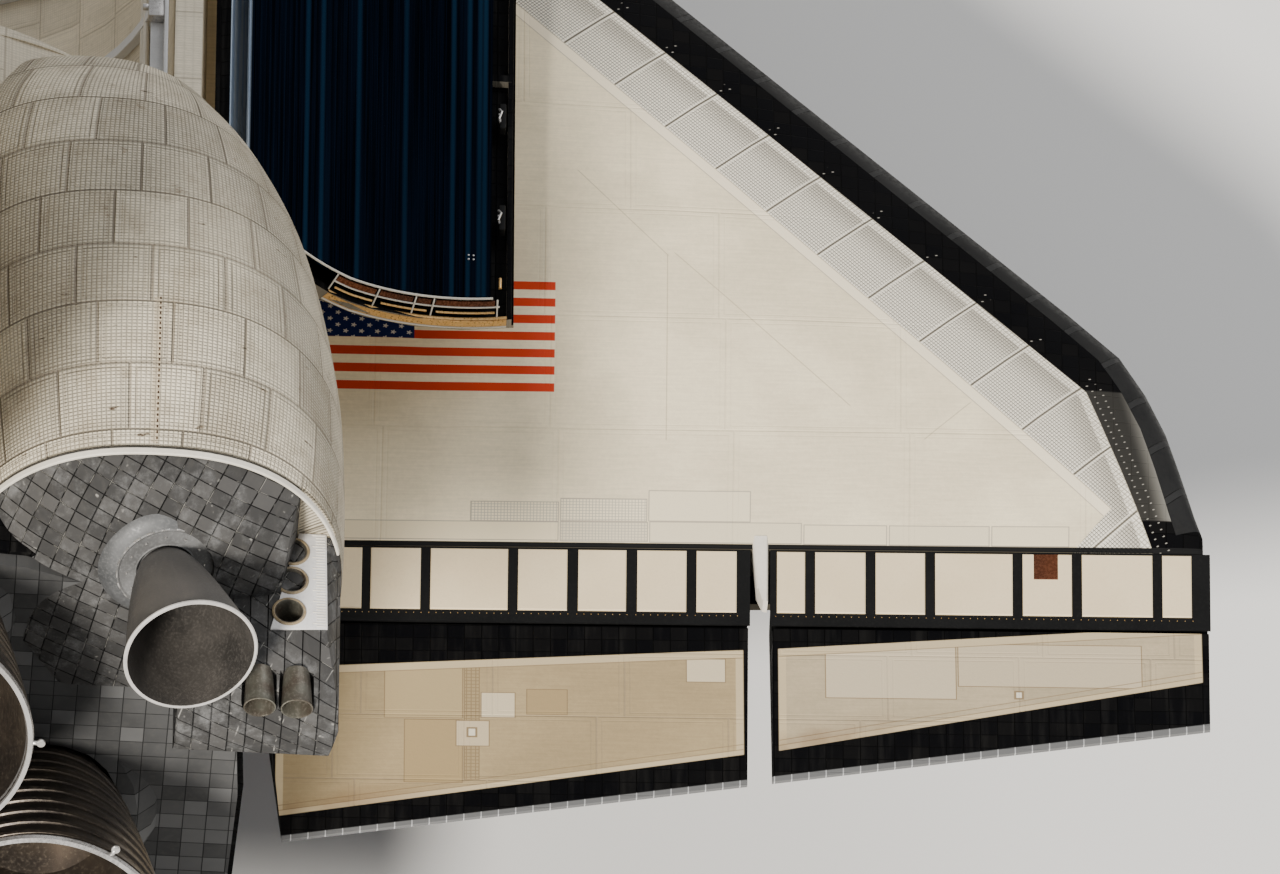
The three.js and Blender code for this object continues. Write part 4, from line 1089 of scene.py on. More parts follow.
# Name, colour, darker parts, worn spots, roughness from and to, size of the mottling, metal, shine
plainLooks = {
    "carbon": plainLook("grey carbon edge", 0.05, 0.028, 0.11, 0.4, 0.6, 0.6),
    "nozzle": plainLook("coated dark nozzle", warm(0.085, 0.1), warm(0.045, 0.05), warm(0.2, 0.1), 0.4, 0.6),
    "strut": plainLook("light grey strut paint", 0.62, 0.5, 0.3, 0.25, 0.4, 3.0),
    "rubber": plainLook("tyre rubber", 0.022, 0.03, 0.06, 0.7, 0.9, 5.0),
    "liner": plainLook("white bay liner", 0.74, 0.62, 0.5, 0.6, 0.8, 0.8),
    "fitting": plainLook("grey cabin paint", 0.22, 0.16, 0.3, 0.4, 0.6, 3.0),
    "panel": plainLook(
        "cream seal panel", (0.83, 0.68, 0.44), (0.78, 0.63, 0.40), (0.66, 0.52, 0.33), 0.5, 0.65
    ),
    "frame": plainLook("black seal frame", 0.004, 0.006, 0.02, 0.5, 0.7, shine=0.12),
    "gold": plainLook(
        "gold foil", (0.75, 0.48, 0.19), (0.55, 0.3, 0.09), (0.9, 0.75, 0.5), 0.25, 0.4, metal=0.7
    ),
    "amber": plainLook(
        "brown foil", (0.12, 0.035, 0.012), (0.05, 0.016, 0.008), (0.3, 0.12, 0.05), 0.2, 0.35, metal=0.6
    ),
    "cream": plainLook(
        "cream paint", (0.82, 0.77, 0.67), (0.74, 0.69, 0.59), (0.5, 0.45, 0.38), 0.4, 0.55, 3.0
    ),
    "steel": plainLook("bright steel", warm(0.55, 0.03), warm(0.42, 0.04), 0.75, 0.25, 0.4, 4.0, 0.8),
    # The nozzle lining is darker than the nozzle itself: painted shade inside the bell
    "scorched": plainLook(
        "nozzle lining in painted shade", warm(0.05, 0.12), warm(0.022, 0.1), warm(0.13, 0.14), 0.45, 0.65, 2.0
    ),
    "rim": plainLook("pale nozzle rim", warm(0.52, 0.05), warm(0.40, 0.05), 0.66, 0.35, 0.5, 4.0),
    "collar": plainLook("smoked collar", warm(0.05, -0.04), warm(0.11, -0.02), 0.28, 0.4, 0.6, 2.2),
    "ringGold": plainLook("tan jet rim", (0.36, 0.27, 0.15), (0.22, 0.17, 0.10), warm(0.5, 0.1), 0.35, 0.5),
    "plate": plainLook("worn grey plate", 0.16, 0.09, 0.35, 0.4, 0.6, 3.0),
    "jet": plainLook(
        "scorched jet tube", (0.13, 0.125, 0.10), (0.07, 0.05, 0.035), (0.42, 0.40, 0.34), 0.3, 0.5, 5.0, 0.5
    ),
    "ribbed": plainLook("pale jet panel", warm(0.78, 0.02), warm(0.66, 0.03), 0.4, 0.5, 0.7, 3.0),
}
for key, look in plainLooks.items():
    materials[key] = plainFinish(*look)
materials["glass"] = glassMaterial()
materials["mirror"] = mirrorMaterial()
materials["wall"] = bellMaterial()
materials["edge"] = edgeMaterial()
print("materials made")

# Modelling helpers


def objectMode():
    bpy.ops.object.mode_set(mode="OBJECT")


def deselect():
    if bpy.context.object and bpy.context.object.mode != "OBJECT":
        objectMode()
    bpy.ops.object.select_all(action="DESELECT")


def choose(*pieces):
    deselect()
    for piece in pieces:
        piece.select_set(True)
    bpy.context.view_layer.objects.active = pieces[0]


def editing(piece):
    choose(piece)
    bpy.ops.object.mode_set(mode="EDIT")
    bpy.ops.mesh.select_all(action="SELECT")


def faceOutward():
    # The last step of an edit: all faces look out
    bpy.ops.mesh.normals_make_consistent(inside=False)
    objectMode()


def named(name):
    piece = bpy.context.object
    piece.name = name
    piece.data.name = name
    return piece


def mergedCopy(name, node):
    # A CAD node's surface as one joined mesh, so that it can be shaded smooth
    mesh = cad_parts[node].data.copy()
    mesh.materials.clear()
    piece = bpy.data.objects.new(name, mesh)
    bpy.context.scene.collection.objects.link(piece)
    editing(piece)
    bpy.ops.mesh.remove_doubles(threshold=0.00005)
    objectMode()
    bpy.ops.mesh.customdata_custom_splitnormals_clear()
    return piece


def finishPiece(piece, material, slot, body="airframe", angle=30, nodes=(), place=airframePlace):
    if place is not None:
        piece.data.transform(place @ piece.matrix_world)
        piece.matrix_world = Matrix.Identity(4)
    choose(piece)
    bpy.ops.object.shade_smooth_by_angle(angle=math.radians(angle))
    piece.data.materials.clear()
    piece.data.materials.append(materials[material])
    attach(piece, body)
    if nodes:
        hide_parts(*nodes)


def joined(name, parts):
    choose(*parts)
    if len(parts) > 1:
        bpy.ops.object.join()
    return named(name)


def tidyNormals(piece):
    editing(piece)
    bpy.ops.mesh.remove_doubles(threshold=0.01)
    faceOutward()


def aligned(piece, start, direction):
    # A shape drawn along z is set along a direction
    turn = Vector(direction).to_track_quat("Z", "X").to_matrix().to_4x4()
    piece.data.transform(Matrix.Translation(start) @ turn)
    return piece


def spun(name, profile, origin, axis, steps=64):
    # A profile of radius and distance, drawn from one vertex by extruding and spun about an axis
    deselect()
    bpy.ops.mesh.primitive_plane_add(size=1)
    piece = named(name)
    bpy.ops.object.mode_set(mode="EDIT")
    bpy.ops.mesh.select_mode(type="VERT")
    bpy.ops.mesh.select_all(action="SELECT")
    bpy.ops.mesh.merge(type="CENTER")
    radius, along = profile[0]
    bpy.ops.transform.translate(value=(radius, 0, along))
    for (r0, a0), (r1, a1) in zip(profile, profile[1:]):
        move = {"value": (r1 - r0, 0, a1 - a0)}
        bpy.ops.mesh.extrude_region_move(TRANSFORM_OT_translate=move)
    bpy.ops.mesh.select_all(action="SELECT")
    bpy.ops.mesh.spin(steps=steps, angle=2 * math.pi, center=(0, 0, 0), axis=(0, 0, 1))
    objectMode()
    tidyNormals(aligned(piece, origin, axis))
    return piece


def selectFaces(piece, test):
    # In edit mode: the faces whose middle and normal pass a test
    bpy.ops.mesh.select_mode(type="FACE")
    bpy.ops.mesh.select_all(action="DESELECT")
    drawn = bmesh.from_edit_mesh(piece.data)
    for face in drawn.faces:
        face.select_set(test(face.calc_center_median(), face.normal))
    bmesh.update_edit_mesh(piece.data)


def block(name, low, high, bevel=0.3, segments=2):
    # A block between two corners with rounded edges
    deselect()
    bpy.ops.mesh.primitive_cube_add(size=1)
    piece = named(name)
    bpy.ops.object.mode_set(mode="EDIT")
    bpy.ops.transform.resize(value=[b - a for a, b in zip(low, high)])
    bpy.ops.transform.translate(value=[(a + b) / 2 for a, b in zip(low, high)])
    if bevel:
        bpy.ops.mesh.bevel(offset=bevel, segments=segments, affect="EDGES")
    objectMode()
    return piece


def bar(name, start, end, radius, sides=12, ease=0.2):
    # A round bar between two points, its ends eased by an inset
    start, end = Vector(start), Vector(end)
    length = (end - start).length
    deselect()
    middle = (0, 0, length / 2)
    bpy.ops.mesh.primitive_cylinder_add(vertices=sides, radius=radius, depth=length, location=middle)
    piece = named(name)
    bpy.ops.object.transform_apply(location=True, rotation=False, scale=False)
    editing(piece)
    selectFaces(piece, lambda middle, normal: abs(normal.z) > 0.9)
    bpy.ops.mesh.bevel(offset=radius * ease, segments=2, affect="EDGES")
    objectMode()
    return aligned(piece, start, end - start)


def surfaceGrid(name, across, along, place):
    # A grid whose points are laid on a surface by their two shares
    deselect()
    bpy.ops.mesh.primitive_grid_add(x_subdivisions=across, y_subdivisions=along, size=1)
    piece = named(name)
    for vertex in piece.data.vertices:
        vertex.co = place(vertex.co.x + 0.5, vertex.co.y + 0.5)
    tidyNormals(piece)
    return piece


def slab(name, outline, low, high):
    # A flat plate of any outline: a circle whose points are moved out to it, extruded up
    deselect()
    bpy.ops.mesh.primitive_circle_add(vertices=len(outline), radius=1, fill_type="NGON")
    piece = named(name)
    for vertex, (x, y) in zip(piece.data.vertices, outline):
        vertex.co = (x, y, low)
    editing(piece)
    bpy.ops.mesh.extrude_region_move(TRANSFORM_OT_translate={"value": (0, 0, high - low)})
    bpy.ops.mesh.select_all(action="SELECT")
    faceOutward()
    return piece


def lofted(name, rings):
    # Closed rings of points joined to one solid with flat ends
    count = len(rings[0])

    def place(u, v):
        ring = rings[round(u * (len(rings) - 1))]
        return ring[round(v * count) % count]

    piece = surfaceGrid(name, len(rings) - 1, count, place)
    editing(piece)
    bpy.ops.mesh.fill_holes(sides=0)
    faceOutward()
    return piece


def swept(name, path, half, thick):
    # A flat rounded strip along a path of (point, outward normal)
    right = [(half * 0.7, thick), (half, thick * 0.7), (half, 0)]
    corners = [(-a, b) for a, b in reversed(right)] + right
    rings = []
    for i, (spot, out) in enumerate(path):
        before, after = path[max(0, i - 1)][0], path[min(len(path) - 1, i + 1)][0]
        side = (after - before).cross(out).normalized()
        rings.append([spot + side * a + out * b for a, b in corners])
    return lofted(name, rings)


def wire(name, path, radius, sides=8):
    # A round wire through points
    rings = []
    for i, spot in enumerate(path):
        before, after = Vector(path[max(0, i - 1)]), Vector(path[min(len(path) - 1, i + 1)])
        turn = (after - before).to_track_quat("Z", "X").to_matrix()
        ring = []
        for k in range(sides):
            a = 2 * math.pi * k / sides
            ring.append(Vector(spot) + turn @ Vector((radius * math.cos(a), radius * math.sin(a), 0)))
        rings.append(ring)
    return lofted(name, rings)


def modified(piece, kind, settings):
    choose(piece)
    tool = piece.modifiers.new("tool", kind)
    for key, value in settings.items():
        setattr(tool, key, value)
    bpy.ops.object.modifier_apply(modifier=tool.name)
    return piece


def carve(piece, *cutters):
    for cutter in cutters:
        modified(piece, "BOOLEAN", {"operation": "DIFFERENCE", "solver": "EXACT", "object": cutter})
        bpy.data.objects.remove(cutter, do_unlink=True)


def softened(piece, width):
    settings = {"width": width, "segments": 2, "limit_method": "ANGLE", "angle_limit": math.radians(35)}
    return modified(piece, "BEVEL", settings)


def mirrored(piece, hand):
    # The same shape on the other side of the plane of symmetry
    if hand > 0:
        return piece
    piece.data.transform(Matrix.Diagonal((1, -1, 1, 1)))
    editing(piece)
    faceOutward()
    return piece


def smoothRow(rows, at):
    # A row between the rows of a table, on a smooth curve through them
    i = min(int(at), len(rows) - 2)
    t = at - i
    p0, p1 = rows[max(0, i - 1)], rows[i]
    p2, p3 = rows[i + 1], rows[min(len(rows) - 1, i + 2)]
    found = []
    for a, b, c, d in zip(p0, p1, p2, p3):
        bend = (2 * a - 5 * b + 4 * c - d) * t**2 + (3 * b - 3 * c + d - a) * t**3
        found.append(0.5 * (2 * b + (c - a) * t + bend))
    return found


# Smooth skins over the CAD pieces

skinned = [
    ("nose_cap_skin", "nose_cap", "airframe", "carbon", "grey_carbon", 40),
    ("forward_skin", "forward_fuselage", "airframe", "fuselage", "white_blanket", 32),
    ("mid_skin", "mid_fuselage", "airframe", "fuselage", "bay_liner", 32),
    ("aft_skin", "aft_fuselage", "airframe", "fuselage", "white_blanket", 32),
    ("fin_skin", "fin", "airframe", "fin", "white_blanket", 25),
    ("hatch_skin", "side_hatch", "side_hatch", "fuselage", "white_blanket", 32),
    ("body_flap_skin", "body_flap", "body_flap", "tile", "black_tile", 35),
    ("rudder_spine_skin", "rudder_spine", "rudder", "carbon", "black_tile", 35),
    ("base_shield", "heat_shield", "airframe", "base_tile", "black_tile", 35),
    ("windscreen_glass", "windscreen", "airframe", "glass", "window_glass", 32),
    ("overhead_glass", "overhead_windows", "airframe", "glass", "window_glass", 32),
    ("cabin_fittings", "flight_deck", "airframe", "fitting", "cabin_fitting", 32),
    ("nose_leg", "nose_gear_leg", "airframe", "strut", "strut_paint", 35),
    ("nose_fork", "nose_gear_fork", "nose_steering", "strut", "strut_paint", 35),
    ("nose_hub", "nose_wheel", "nose_wheels", "strut", "strut_paint", 35),
]
for side in sides:
    tag = "_" + side
    skinned += [
        ("wing_skin" + tag, "wing" + tag, "airframe", "wing" + tag, "white_blanket", 30),
        ("carbon_edge" + tag, "leading_edge" + tag, "airframe", "edge", "grey_carbon", 35),
        ("door_shell" + tag, "bay_door" + tag, "bay_door" + tag, "door", "white_blanket", 35),
        ("rudder_skin" + tag, "rudder" + tag, "rudder_panel" + tag, "rudder", "white_blanket", 30),
        ("main_door" + tag, "main_gear_door" + tag, "airframe", "tile", "black_tile", 30),
        ("nose_door" + tag, "nose_gear_door" + tag, "airframe", "tile", "black_tile", 30),
        ("main_leg" + tag, "main_gear_leg" + tag, "airframe", "strut", "strut_paint", 35),
        ("main_hub" + tag, "main_wheel" + tag, "main_wheels" + tag, "strut", "strut_paint", 35),
    ]
    for span in ("inboard", "outboard"):
        end = span + tag
        skinned += [
            ("elevon_skin_" + end, "elevon_" + end, "elevon_" + end, "elevon_" + span, "white_blanket", 30),
            ("seal_frame_" + end, "seal_panels_" + end, "seal_panels_" + end, "frame", "seal_panel", 30),
        ]

for name, node, body, material, slot, angle in skinned:
    finishPiece(mergedCopy(name, node), material, slot, body, angle, [node], None)
print("skins laid over the frame")

# Main engine bells and pod nozzles

bells = {
    "top": {"at": (1445, 0, 443), "up": 16, "out": 0, "neck": 10.2},
    "starboard": {"at": (1468.2, 53, 342.6), "up": 19.5, "out": 0, "neck": 11},
    "port": {"at": (1468.2, -53, 342.6), "up": 19.5, "out": 0, "neck": 11},
    "throat": 43,
    "exit": 164,
    "wall": 1.6,
    "bands": 9,
    "lugs": range(0, 360, 60),
    "lip": ((-2.0, 162.4), (0.3, 162.2), (0.7, 163.2), (0.3, 164.6), (-1.3, 164.8)),
}


def axisOf(up, out):
    up, out = math.radians(up), math.radians(out)
    flat = math.cos(up)
    return Vector((flat * math.cos(out), flat * math.sin(out), math.sin(up)))


def spoke(axis, turn):
    # The direction out from an axis at a turn, and the one round it
    across = axis.cross(Vector((0, 0, 1))).normalized()
    upright = across.cross(axis)
    out = across * math.cos(turn) + upright * math.sin(turn)
    return out, upright * math.cos(turn) - across * math.sin(turn)


def bellRadius(along):
    share = (along - bells["throat"]) / (bells["exit"] - bells["throat"])
    return 5.1 + 40.3 * math.sqrt(share) + bells["wall"]


def bellRim(name, axis):
    # The bright lip of a bell, with the small lugs that stand on it
    at = Vector(bells[name]["at"])
    reach = bellRadius(bells["exit"])
    lip = [(reach + out, along) for out, along in bells["lip"]]
    parts = [spun("lip", lip + [lip[0]], at, axis, 96)]
    for degrees in bells["lugs"]:
        out, _ = spoke(axis, math.radians(degrees))
        foot = at + axis * 163.4 + out * (reach + 0.2)
        parts.append(bar("lug", foot, foot + out * 2.4, 0.8, 10))
        parts.append(bar("eye", foot + out * 2.9 - axis * 0.6, foot + out * 2.9 + axis * 0.6, 1.5, 16))
    piece = joined("bell_rim_" + name, parts)
    finishPiece(piece, "steel", "engine_metal", angle=35)


def engineBell(name):
    engine = bells[name]
    axis = axisOf(engine["up"], engine["out"])
    start = (1528 - engine["at"][0]) / axis.x + engine["neck"]
    wall = bells["wall"]
    outer = [(bellRadius(start), start)]
    for i in range(bells["bands"]):
        at = mix(start + 12, bells["exit"] - 4, i / (bells["bands"] - 1))
        crown = bellRadius(at) + 0.9
        outer += [(bellRadius(at - 1.2), at - 1.2), (crown, at - 0.9), (crown, at + 0.9)]
        outer.append((bellRadius(at + 1.2), at + 1.2))
    outer.append((bellRadius(bells["exit"]) - 0.2, bells["exit"]))
    depths = [mix(bells["exit"], start + 2, i / 12) for i in range(13)]
    inner = [(bellRadius(depth) - wall, depth) for depth in depths]
    floor = [(inner[-1][0] * 0.6, start + 3), (0, start + 4)]
    profile = [(0, start)] + outer + inner + floor
    piece = spun("bell_" + name, profile, Vector(engine["at"]), axis, 72)
    finishPiece(piece, "wall", "engine_metal", nodes=["main_engine_" + name])
    bellRim(name, axis)


for name in ("top", "starboard", "port"):
    engineBell(name)

podNozzle = {
    "base": (1516.6, 87.3, 492.5),
    "up": 14,
    "out": 11,
    "start": 14,
    "end": 63.4,
    "throat": 7.6,
    "exit": 22.6,
    "wall": 0.7,
    "lip": ((-0.8, -0.9), (0.35, -0.9), (0.45, -0.2), (0, 0.25), (-0.8, 0.1)),
}


def nozzleLine(hand=1):
    # Where a pod nozzle starts, and the way it points
    x, y, z = podNozzle["base"]
    return Vector((x, y * hand, z)), axisOf(podNozzle["up"], podNozzle["out"] * hand)


def nozzleBell(side):
    base, axis = nozzleLine(sides[side])
    outer = []
    for i in range(17):
        share = i / 16
        radius = mix(podNozzle["throat"], podNozzle["exit"], share**0.7)
        outer.append((radius, mix(podNozzle["start"], podNozzle["end"], share)))
    inner = [(radius - podNozzle["wall"], along) for radius, along in reversed(outer[1:])]
    start = podNozzle["start"]
    profile = [(0, start)] + outer + inner + [(5, start + 4), (0, start + 3)]
    piece = spun("nozzle_" + side, profile, base, axis, 64)
    finishPiece(piece, "nozzle", "engine_metal", nodes=["pod_nozzle_" + side])
    # A thin darker lining inside the bell: painted shade in its hollow
    lined = [(radius - 0.08, along) for radius, along in inner[:-1]]
    behind = [(radius + 0.04, along) for radius, along in reversed(lined)]
    liner = spun("nozzle_liner_" + side, lined + behind + [lined[0]], base, axis, 64)
    finishPiece(liner, "scorched", "engine_metal")
    lip = [(podNozzle["exit"] + out, podNozzle["end"] + along) for out, along in podNozzle["lip"]]
    rim = spun("nozzle_rim_" + side, lip + [lip[0]], base, axis, 96)
    finishPiece(rim, "rim", "engine_metal", angle=35)


for side in sides:
    nozzleBell(side)
print("bells and nozzles spun")

# Engine pods: a smooth shell, the housing and collar behind it, jets, and the lip where white meets black

pod = {
    # x, middle and half width, crest, foot, lean of the crest inboard
    "rows": (
        (1308.2, 61.5, 40, 488, 436, 3),
        (1313, 63, 48, 499.5, 436, 3.3),
        (1322, 65, 52.5, 507, 436, 4),
        (1345, 69.5, 60.5, 521, 440, 5),
        (1380, 75.5, 67, 532, 444, 5),
        (1430, 81.5, 69.5, 538, 447, 3),
        (1470, 84.5, 68.5, 537, 449, 1),
        (1503, 86, 66.5, 531, 450.5, 0),
        (1512, 86, 64, 526, 451, 0),
        (1523, 86, 58, 518, 452, 0),
        (1530, 87, 50, 506, 453, 0),
        (1535, 88, 38, 482, 455, 0),
    ),
    "curve": 0.85,
    "lipX": 1506.0,
    "deck": 484,
    "notch": ((1504.3, 135.7), (1504.3, 170), (1560, 170), (1560, 123), (1546.8, 126.4)),
    "panel": ((1504.9, 136.0), (1504.9, 145.4), (1545.2, 146.2), (1546.4, 126.8)),
    "upJets": ((1513, 134), (1525.4, 133.8), (1538.7, 133.1)),
    "rearJets": (123.7, 136.3),
    # x, inner y, low z, side y, top z, y of the top edge
    "housing": (
        (1500, 118, 448, 148.5, 483.9, 146),
        (1520, 96, 448, 149, 483.9, 146),
        (1545.6, 96, 448.5, 149, 483.9, 146),
        (1572.5, 96, 449, 149, 477.5, 150.6),
        (1575, 97, 458, 150, 469, 151),
    ),
    "collar": (
        (0, -6), (25.9, -6), (25.6, 1), (24.9, 5.5), (23.6, 9.6), (21.6, 13), (19.4, 15.1), (16.9, 16.1),
    ),
    # radius, rise, count, share
    "clips": ((25.1, 5.6, 22, 0.6), (16.7, 16.2, 20, 0.55), (13.4, 16.3, 12, 0.12)),
    "ring": (
        (16.9, 16.1), (16.4, 16.4), (15.8, 16.1), (10.6, 16.2), (10.2, 16.4), (9.8, 16.1), (9.2, 13.6),
        (0, 13.6),
    ),
    "jetRing": ((4.9, 0), (5.9, 0), (5.8, 0.5), (5.3, 0.8), (4.95, 0.5), (4.9, 0)),
    "jetCup": (
        (0, 0), (3.4, 0), (4.3, 5), (4.8, 11.6), (5.3, 11.9), (5.3, 12.5), (4.7, 12.6), (4.1, 11.5), (3.2, 4),
        (2.0, 1.4), (0, 1.2),
    ),
    "jetTube": (
        (0, 0), (4.4, 0), (4.9, 6), (5.3, 14.4), (5.5, 14.9), (5.1, 15.1), (4.6, 14.2), (4.0, 6), (2.2, 2),
        (0, 1.6),
    ),
    "ribs": 34,
}


def podPoint(at, angle):
    x, y, half, crest, foot, lean = smoothRow(pod["rows"], at)
    wide = abs(math.cos(angle)) ** pod["curve"] * math.copysign(1, math.cos(angle))
    rise = math.sin(angle) ** pod["curve"]
    return Vector((x, y + half * wide - lean * rise, foot + (crest - foot) * rise))


def podShell(side):
    last = len(pod["rows"]) - 1
    steps = 60

    def place(u, v):
        at = u * last
        x, y, half, crest, foot, lean = smoothRow(pod["rows"], at)
        if u < 0.001 or u > 0.999:
            return Vector((x, y, mix(foot, crest, 0.45)))
        if v < 0.049:
            return Vector((x, mix(y + 0.72 * half, y + half, v / 0.05), mix(foot - 22, foot, v / 0.05)))
        if v < 0.901:
            return podPoint(at, math.pi * min(1.0, (v - 0.05) / 0.85))
        if v < 0.949:
            share = (v - 0.9) / 0.05
            return Vector((x, mix(y - half, y - 0.7 * half, share), mix(foot, foot - 22, share)))
        return Vector((x, mix(y - 0.7 * half, y + 0.72 * half, (v - 0.95) / 0.05), foot - 22))

    piece = surfaceGrid("pod_shell_" + side, 66, steps, place)
    notch = slab("notch", pod["notch"], pod["deck"], 570)
    base, axis = nozzleLine()
    face = bar("face", base + axis * 13, base + axis * 60, 16.4, 32, 0.01)
    top = bells["top"]
    beside = axisOf(top["up"], top["out"])
    gap = bar("gap", Vector(top["at"]) + beside * 60, Vector(top["at"]) + beside * 150, 45.5, 48, 0.01)
    carve(piece, notch, face, gap)
    finishPiece(mirrored(piece, sides[side]), "pod", "white_blanket", angle=35, nodes=["engine_pod_" + side])


def podHousing(side):
    rings = []
    for x, inner, low, wide, top, edge in pod["housing"]:
        corners = ((inner, low), (wide, low), (151.4, min(466, top - 1)), (edge, top), (inner, top))
        rings.append([Vector((x, y, z)) for y, z in corners])
    piece = softened(lofted("pod_housing_" + side, rings), 0.5)
    scoops = [bar("scoop", (1560.5, y, 478.3), (1590, y, 477.2), 6.0, 32, 0.01) for y in pod["rearJets"]]
    wells = [bar("well", (x, y, 472), (x, y, 500), 5.0, 32, 0.01) for x, y in pod["upJets"]]
    carve(piece, *scoops, *wells)
    finishPiece(mirrored(piece, sides[side]), "pod_base", "black_tile")


def podCollar(side):
    base, axis = nozzleLine(sides[side])
    dome = spun("pod_collar_" + side, pod["collar"], base, axis, 64)
    finishPiece(dome, "collar", "black_tile", angle=40)
    ring = spun("pod_ring_" + side, pod["ring"], base, axis, 64)
    finishPiece(ring, "plate", "engine_metal", angle=25)
    parts = []
    for reach, rise, count, share in pod["clips"]:
        for i in range(count):
            out, beside = spoke(axis, 2 * math.pi * i / count)
            spot = base + axis * rise + out * reach
            half = math.pi * reach / count * share
            parts.append(bar("clip", spot - beside * half, spot + beside * half, 0.36, 6, 0.2))
    finishPiece(joined("pod_bolts_" + side, parts), "steel", "engine_metal")


def podLip(side):
    path = []
    reach = next(i for i, row in enumerate(pod["rows"]) if row[0] > pod["lipX"]) - 1
    before, after = pod["rows"][reach][0], pod["rows"][reach + 1][0]
    at = reach + (pod["lipX"] - before) / (after - before)
    for i in range(49):
        angle = math.radians(mix(17, 172, i / 48))
        spot = podPoint(at, angle)
        ahead = podPoint(at, angle + 0.01) - spot
        out = Vector((0, ahead.z, -ahead.y)).normalized()
        path.append((spot - out * 0.2, out))
    piece = mirrored(swept("pod_lip_" + side, path, 1.3, 0.85), sides[side])
    finishPiece(piece, "cream", "white_blanket")


def podJets(side):
    hand = sides[side]
    panel = softened(slab("jet_panel_" + side, pod["panel"], pod["deck"] - 0.6, pod["deck"] + 0.5), 0.25)
    wells = [bar("well", (x, y, 470), (x, y, 500), 4.9, 32, 0.01) for x, y in pod["upJets"]]
    carve(panel, *wells)
    finishPiece(mirrored(panel, hand), "ribbed", "white_blanket")
    ribs = []
    (x0, y0), (x1, y1) = pod["panel"][1], pod["panel"][2]
    for i in range(pod["ribs"]):
        share = i / (pod["ribs"] - 1)
        x = mix(x0 + 0.8, x1 - 0.8, share)
        y = (mix(y0, y1, share) - 0.5) * hand
        rise = pod["deck"] + 0.55
        long = 3.2 if i % 4 else 4.4
        ribs.append(bar("rib", (x, y, rise), (x, y - long * hand, rise), 0.2, 6, 0.1))
    finishPiece(joined("jet_ribs_" + side, ribs), "cream", "white_blanket")
    rings, cups = [], []
    for x, y in pod["upJets"]:
        rings.append(spun("ring", pod["jetRing"], Vector((x, y * hand, pod["deck"] + 0.35)), (0, 0, 1), 40))
        cups.append(spun("cup", pod["jetCup"], Vector((x, y * hand, 472.3)), (0, 0, 1), 40))
    finishPiece(joined("jet_rings_" + side, rings), "ringGold", "engine_metal", angle=35)
    for y in pod["rearJets"]:
        at = Vector((1559.8, y * hand, 478.1))
        cups.append(spun("tube", pod["jetTube"], at, (1, 0.02 * hand, -0.03), 40))
    finishPiece(joined("pod_jets_" + side, cups), "jet", "engine_metal", angle=35)


for side in sides:
    podShell(side)
    podHousing(side)
    podCollar(side)
    podLip(side)
    podJets(side)
print("engine pods modelled")

# Seal panels between wing and elevons: cream plates in dark frames

seals = {
    "hingeX": 1387.0,
    "coveX": 1363.6,
    "from": 142,  # span where the heights are given
    "coveSlope": 0.0604,
    "rest": 8.0 * 0.46,  # degrees up, a share of the elevon's
    "plateFrom": 1364.9,
    "plateTo": 1391.6,
    "inboard": (
        (132.5, 144.0), (147.2, 167.8), (170.9, 188.4), (191.9, 219.0), (222.6, 239.8),
        (243.7, 260.5), (264.4, 281.6), (285.2, 299.2),
    ),
    "outboard": (
        (313.4, 323.2), (326.8, 344.4), (348.0, 365.3), (368.9, 396.0), (399.6, 416.8), (420.4, 445.1),
        (448.6, 458.8),
    ),
    "patch": (1364.9, 1376.2, 403.3, 412.1),
    "fairing": (
        (1358.5, 305.0), (1362.8, 304.8), (1381.5, 306.4), (1386.5, 308.6), (1387.0, 310.2), (1358.5, 310.2),
    ),
    "lift": 0.55,
}


def hingeHeight(y):
    return 283.5 + 0.0705 * (y - seals["from"])


def coveHeight(y):
    return 295.3 + seals["coveSlope"] * (y - seals["from"])


def sealPoint(x, y, lift, hand):
    # A point over the seal panels as they lie with the elevons at rest
    back = seals["hingeX"] - seals["coveX"]
    chord = 1505 - 0.1773 * (y - 115) - seals["hingeX"]
    rear = chord * math.tan(math.radians(1.3)) + 0.6
    share = (x - seals["coveX"]) / (chord + back)
    z = hingeHeight(y) + mix(coveHeight(y) - hingeHeight(y), rear, share) + lift
    pivot = Vector((seals["coveX"] + 0.8, seals["from"], 294.7))
    turn = Matrix.Rotation(math.radians(-seals["rest"]), 3, Vector((0, 1, seals["coveSlope"])))
    spot = pivot + turn @ (Vector((x, y, z)) - pivot)
    return Vector((spot.x, spot.y * hand, spot.z))


def sealPlate(edges, hand, lift=None):
    x0, x1, y0, y1 = edges
    high = seals["lift"] if lift is None else lift
    rings = []
    for rise, draw in ((-0.15, 0.0), (high * 0.6, 0.0), (high, 0.35)):
        (a, b), (c, d) = (x0 + draw, x1 - draw), (y0 + draw, y1 - draw)
        rings.append([sealPoint(x, y, rise, hand) for x, y in ((a, c), (b, c), (b, d), (a, d))])
    return lofted("plate", rings)


def sealRow(span, side):
    hand = sides[side]
    end = span + "_" + side
    plates = []
    rivets = []
    for y0, y1 in seals[span]:
        plates.append(sealPlate((seals["plateFrom"], seals["plateTo"], y0, y1), hand))
        count = max(3, round((y1 - y0) / 2.4))
        for i in range(count + 1):
            y = mix(y0 - 0.4, y1 + 0.4, i / count)
            spot = sealPoint(seals["plateTo"] + 1.5, y, 0.05, hand)
            low, high = Vector((-0.12, -0.12, -0.1)), Vector((0.12, 0.12, 0.14))
            rivets.append(block("rivet", spot + low, spot + high, 0))
    name = "seal_panels_" + end
    finishPiece(joined("seal_plates_" + end, plates), "panel", "seal_panel", name, 25)
    finishPiece(joined("seal_rivets_" + end, rivets), "gold", "seal_panel", name, 25)
    if span == "outboard":
        patch = joined("seal_patch_" + end, [sealPlate(seals["patch"], hand, lift=0.72)])
        finishPiece(patch, "amber", "seal_panel", name, 25)


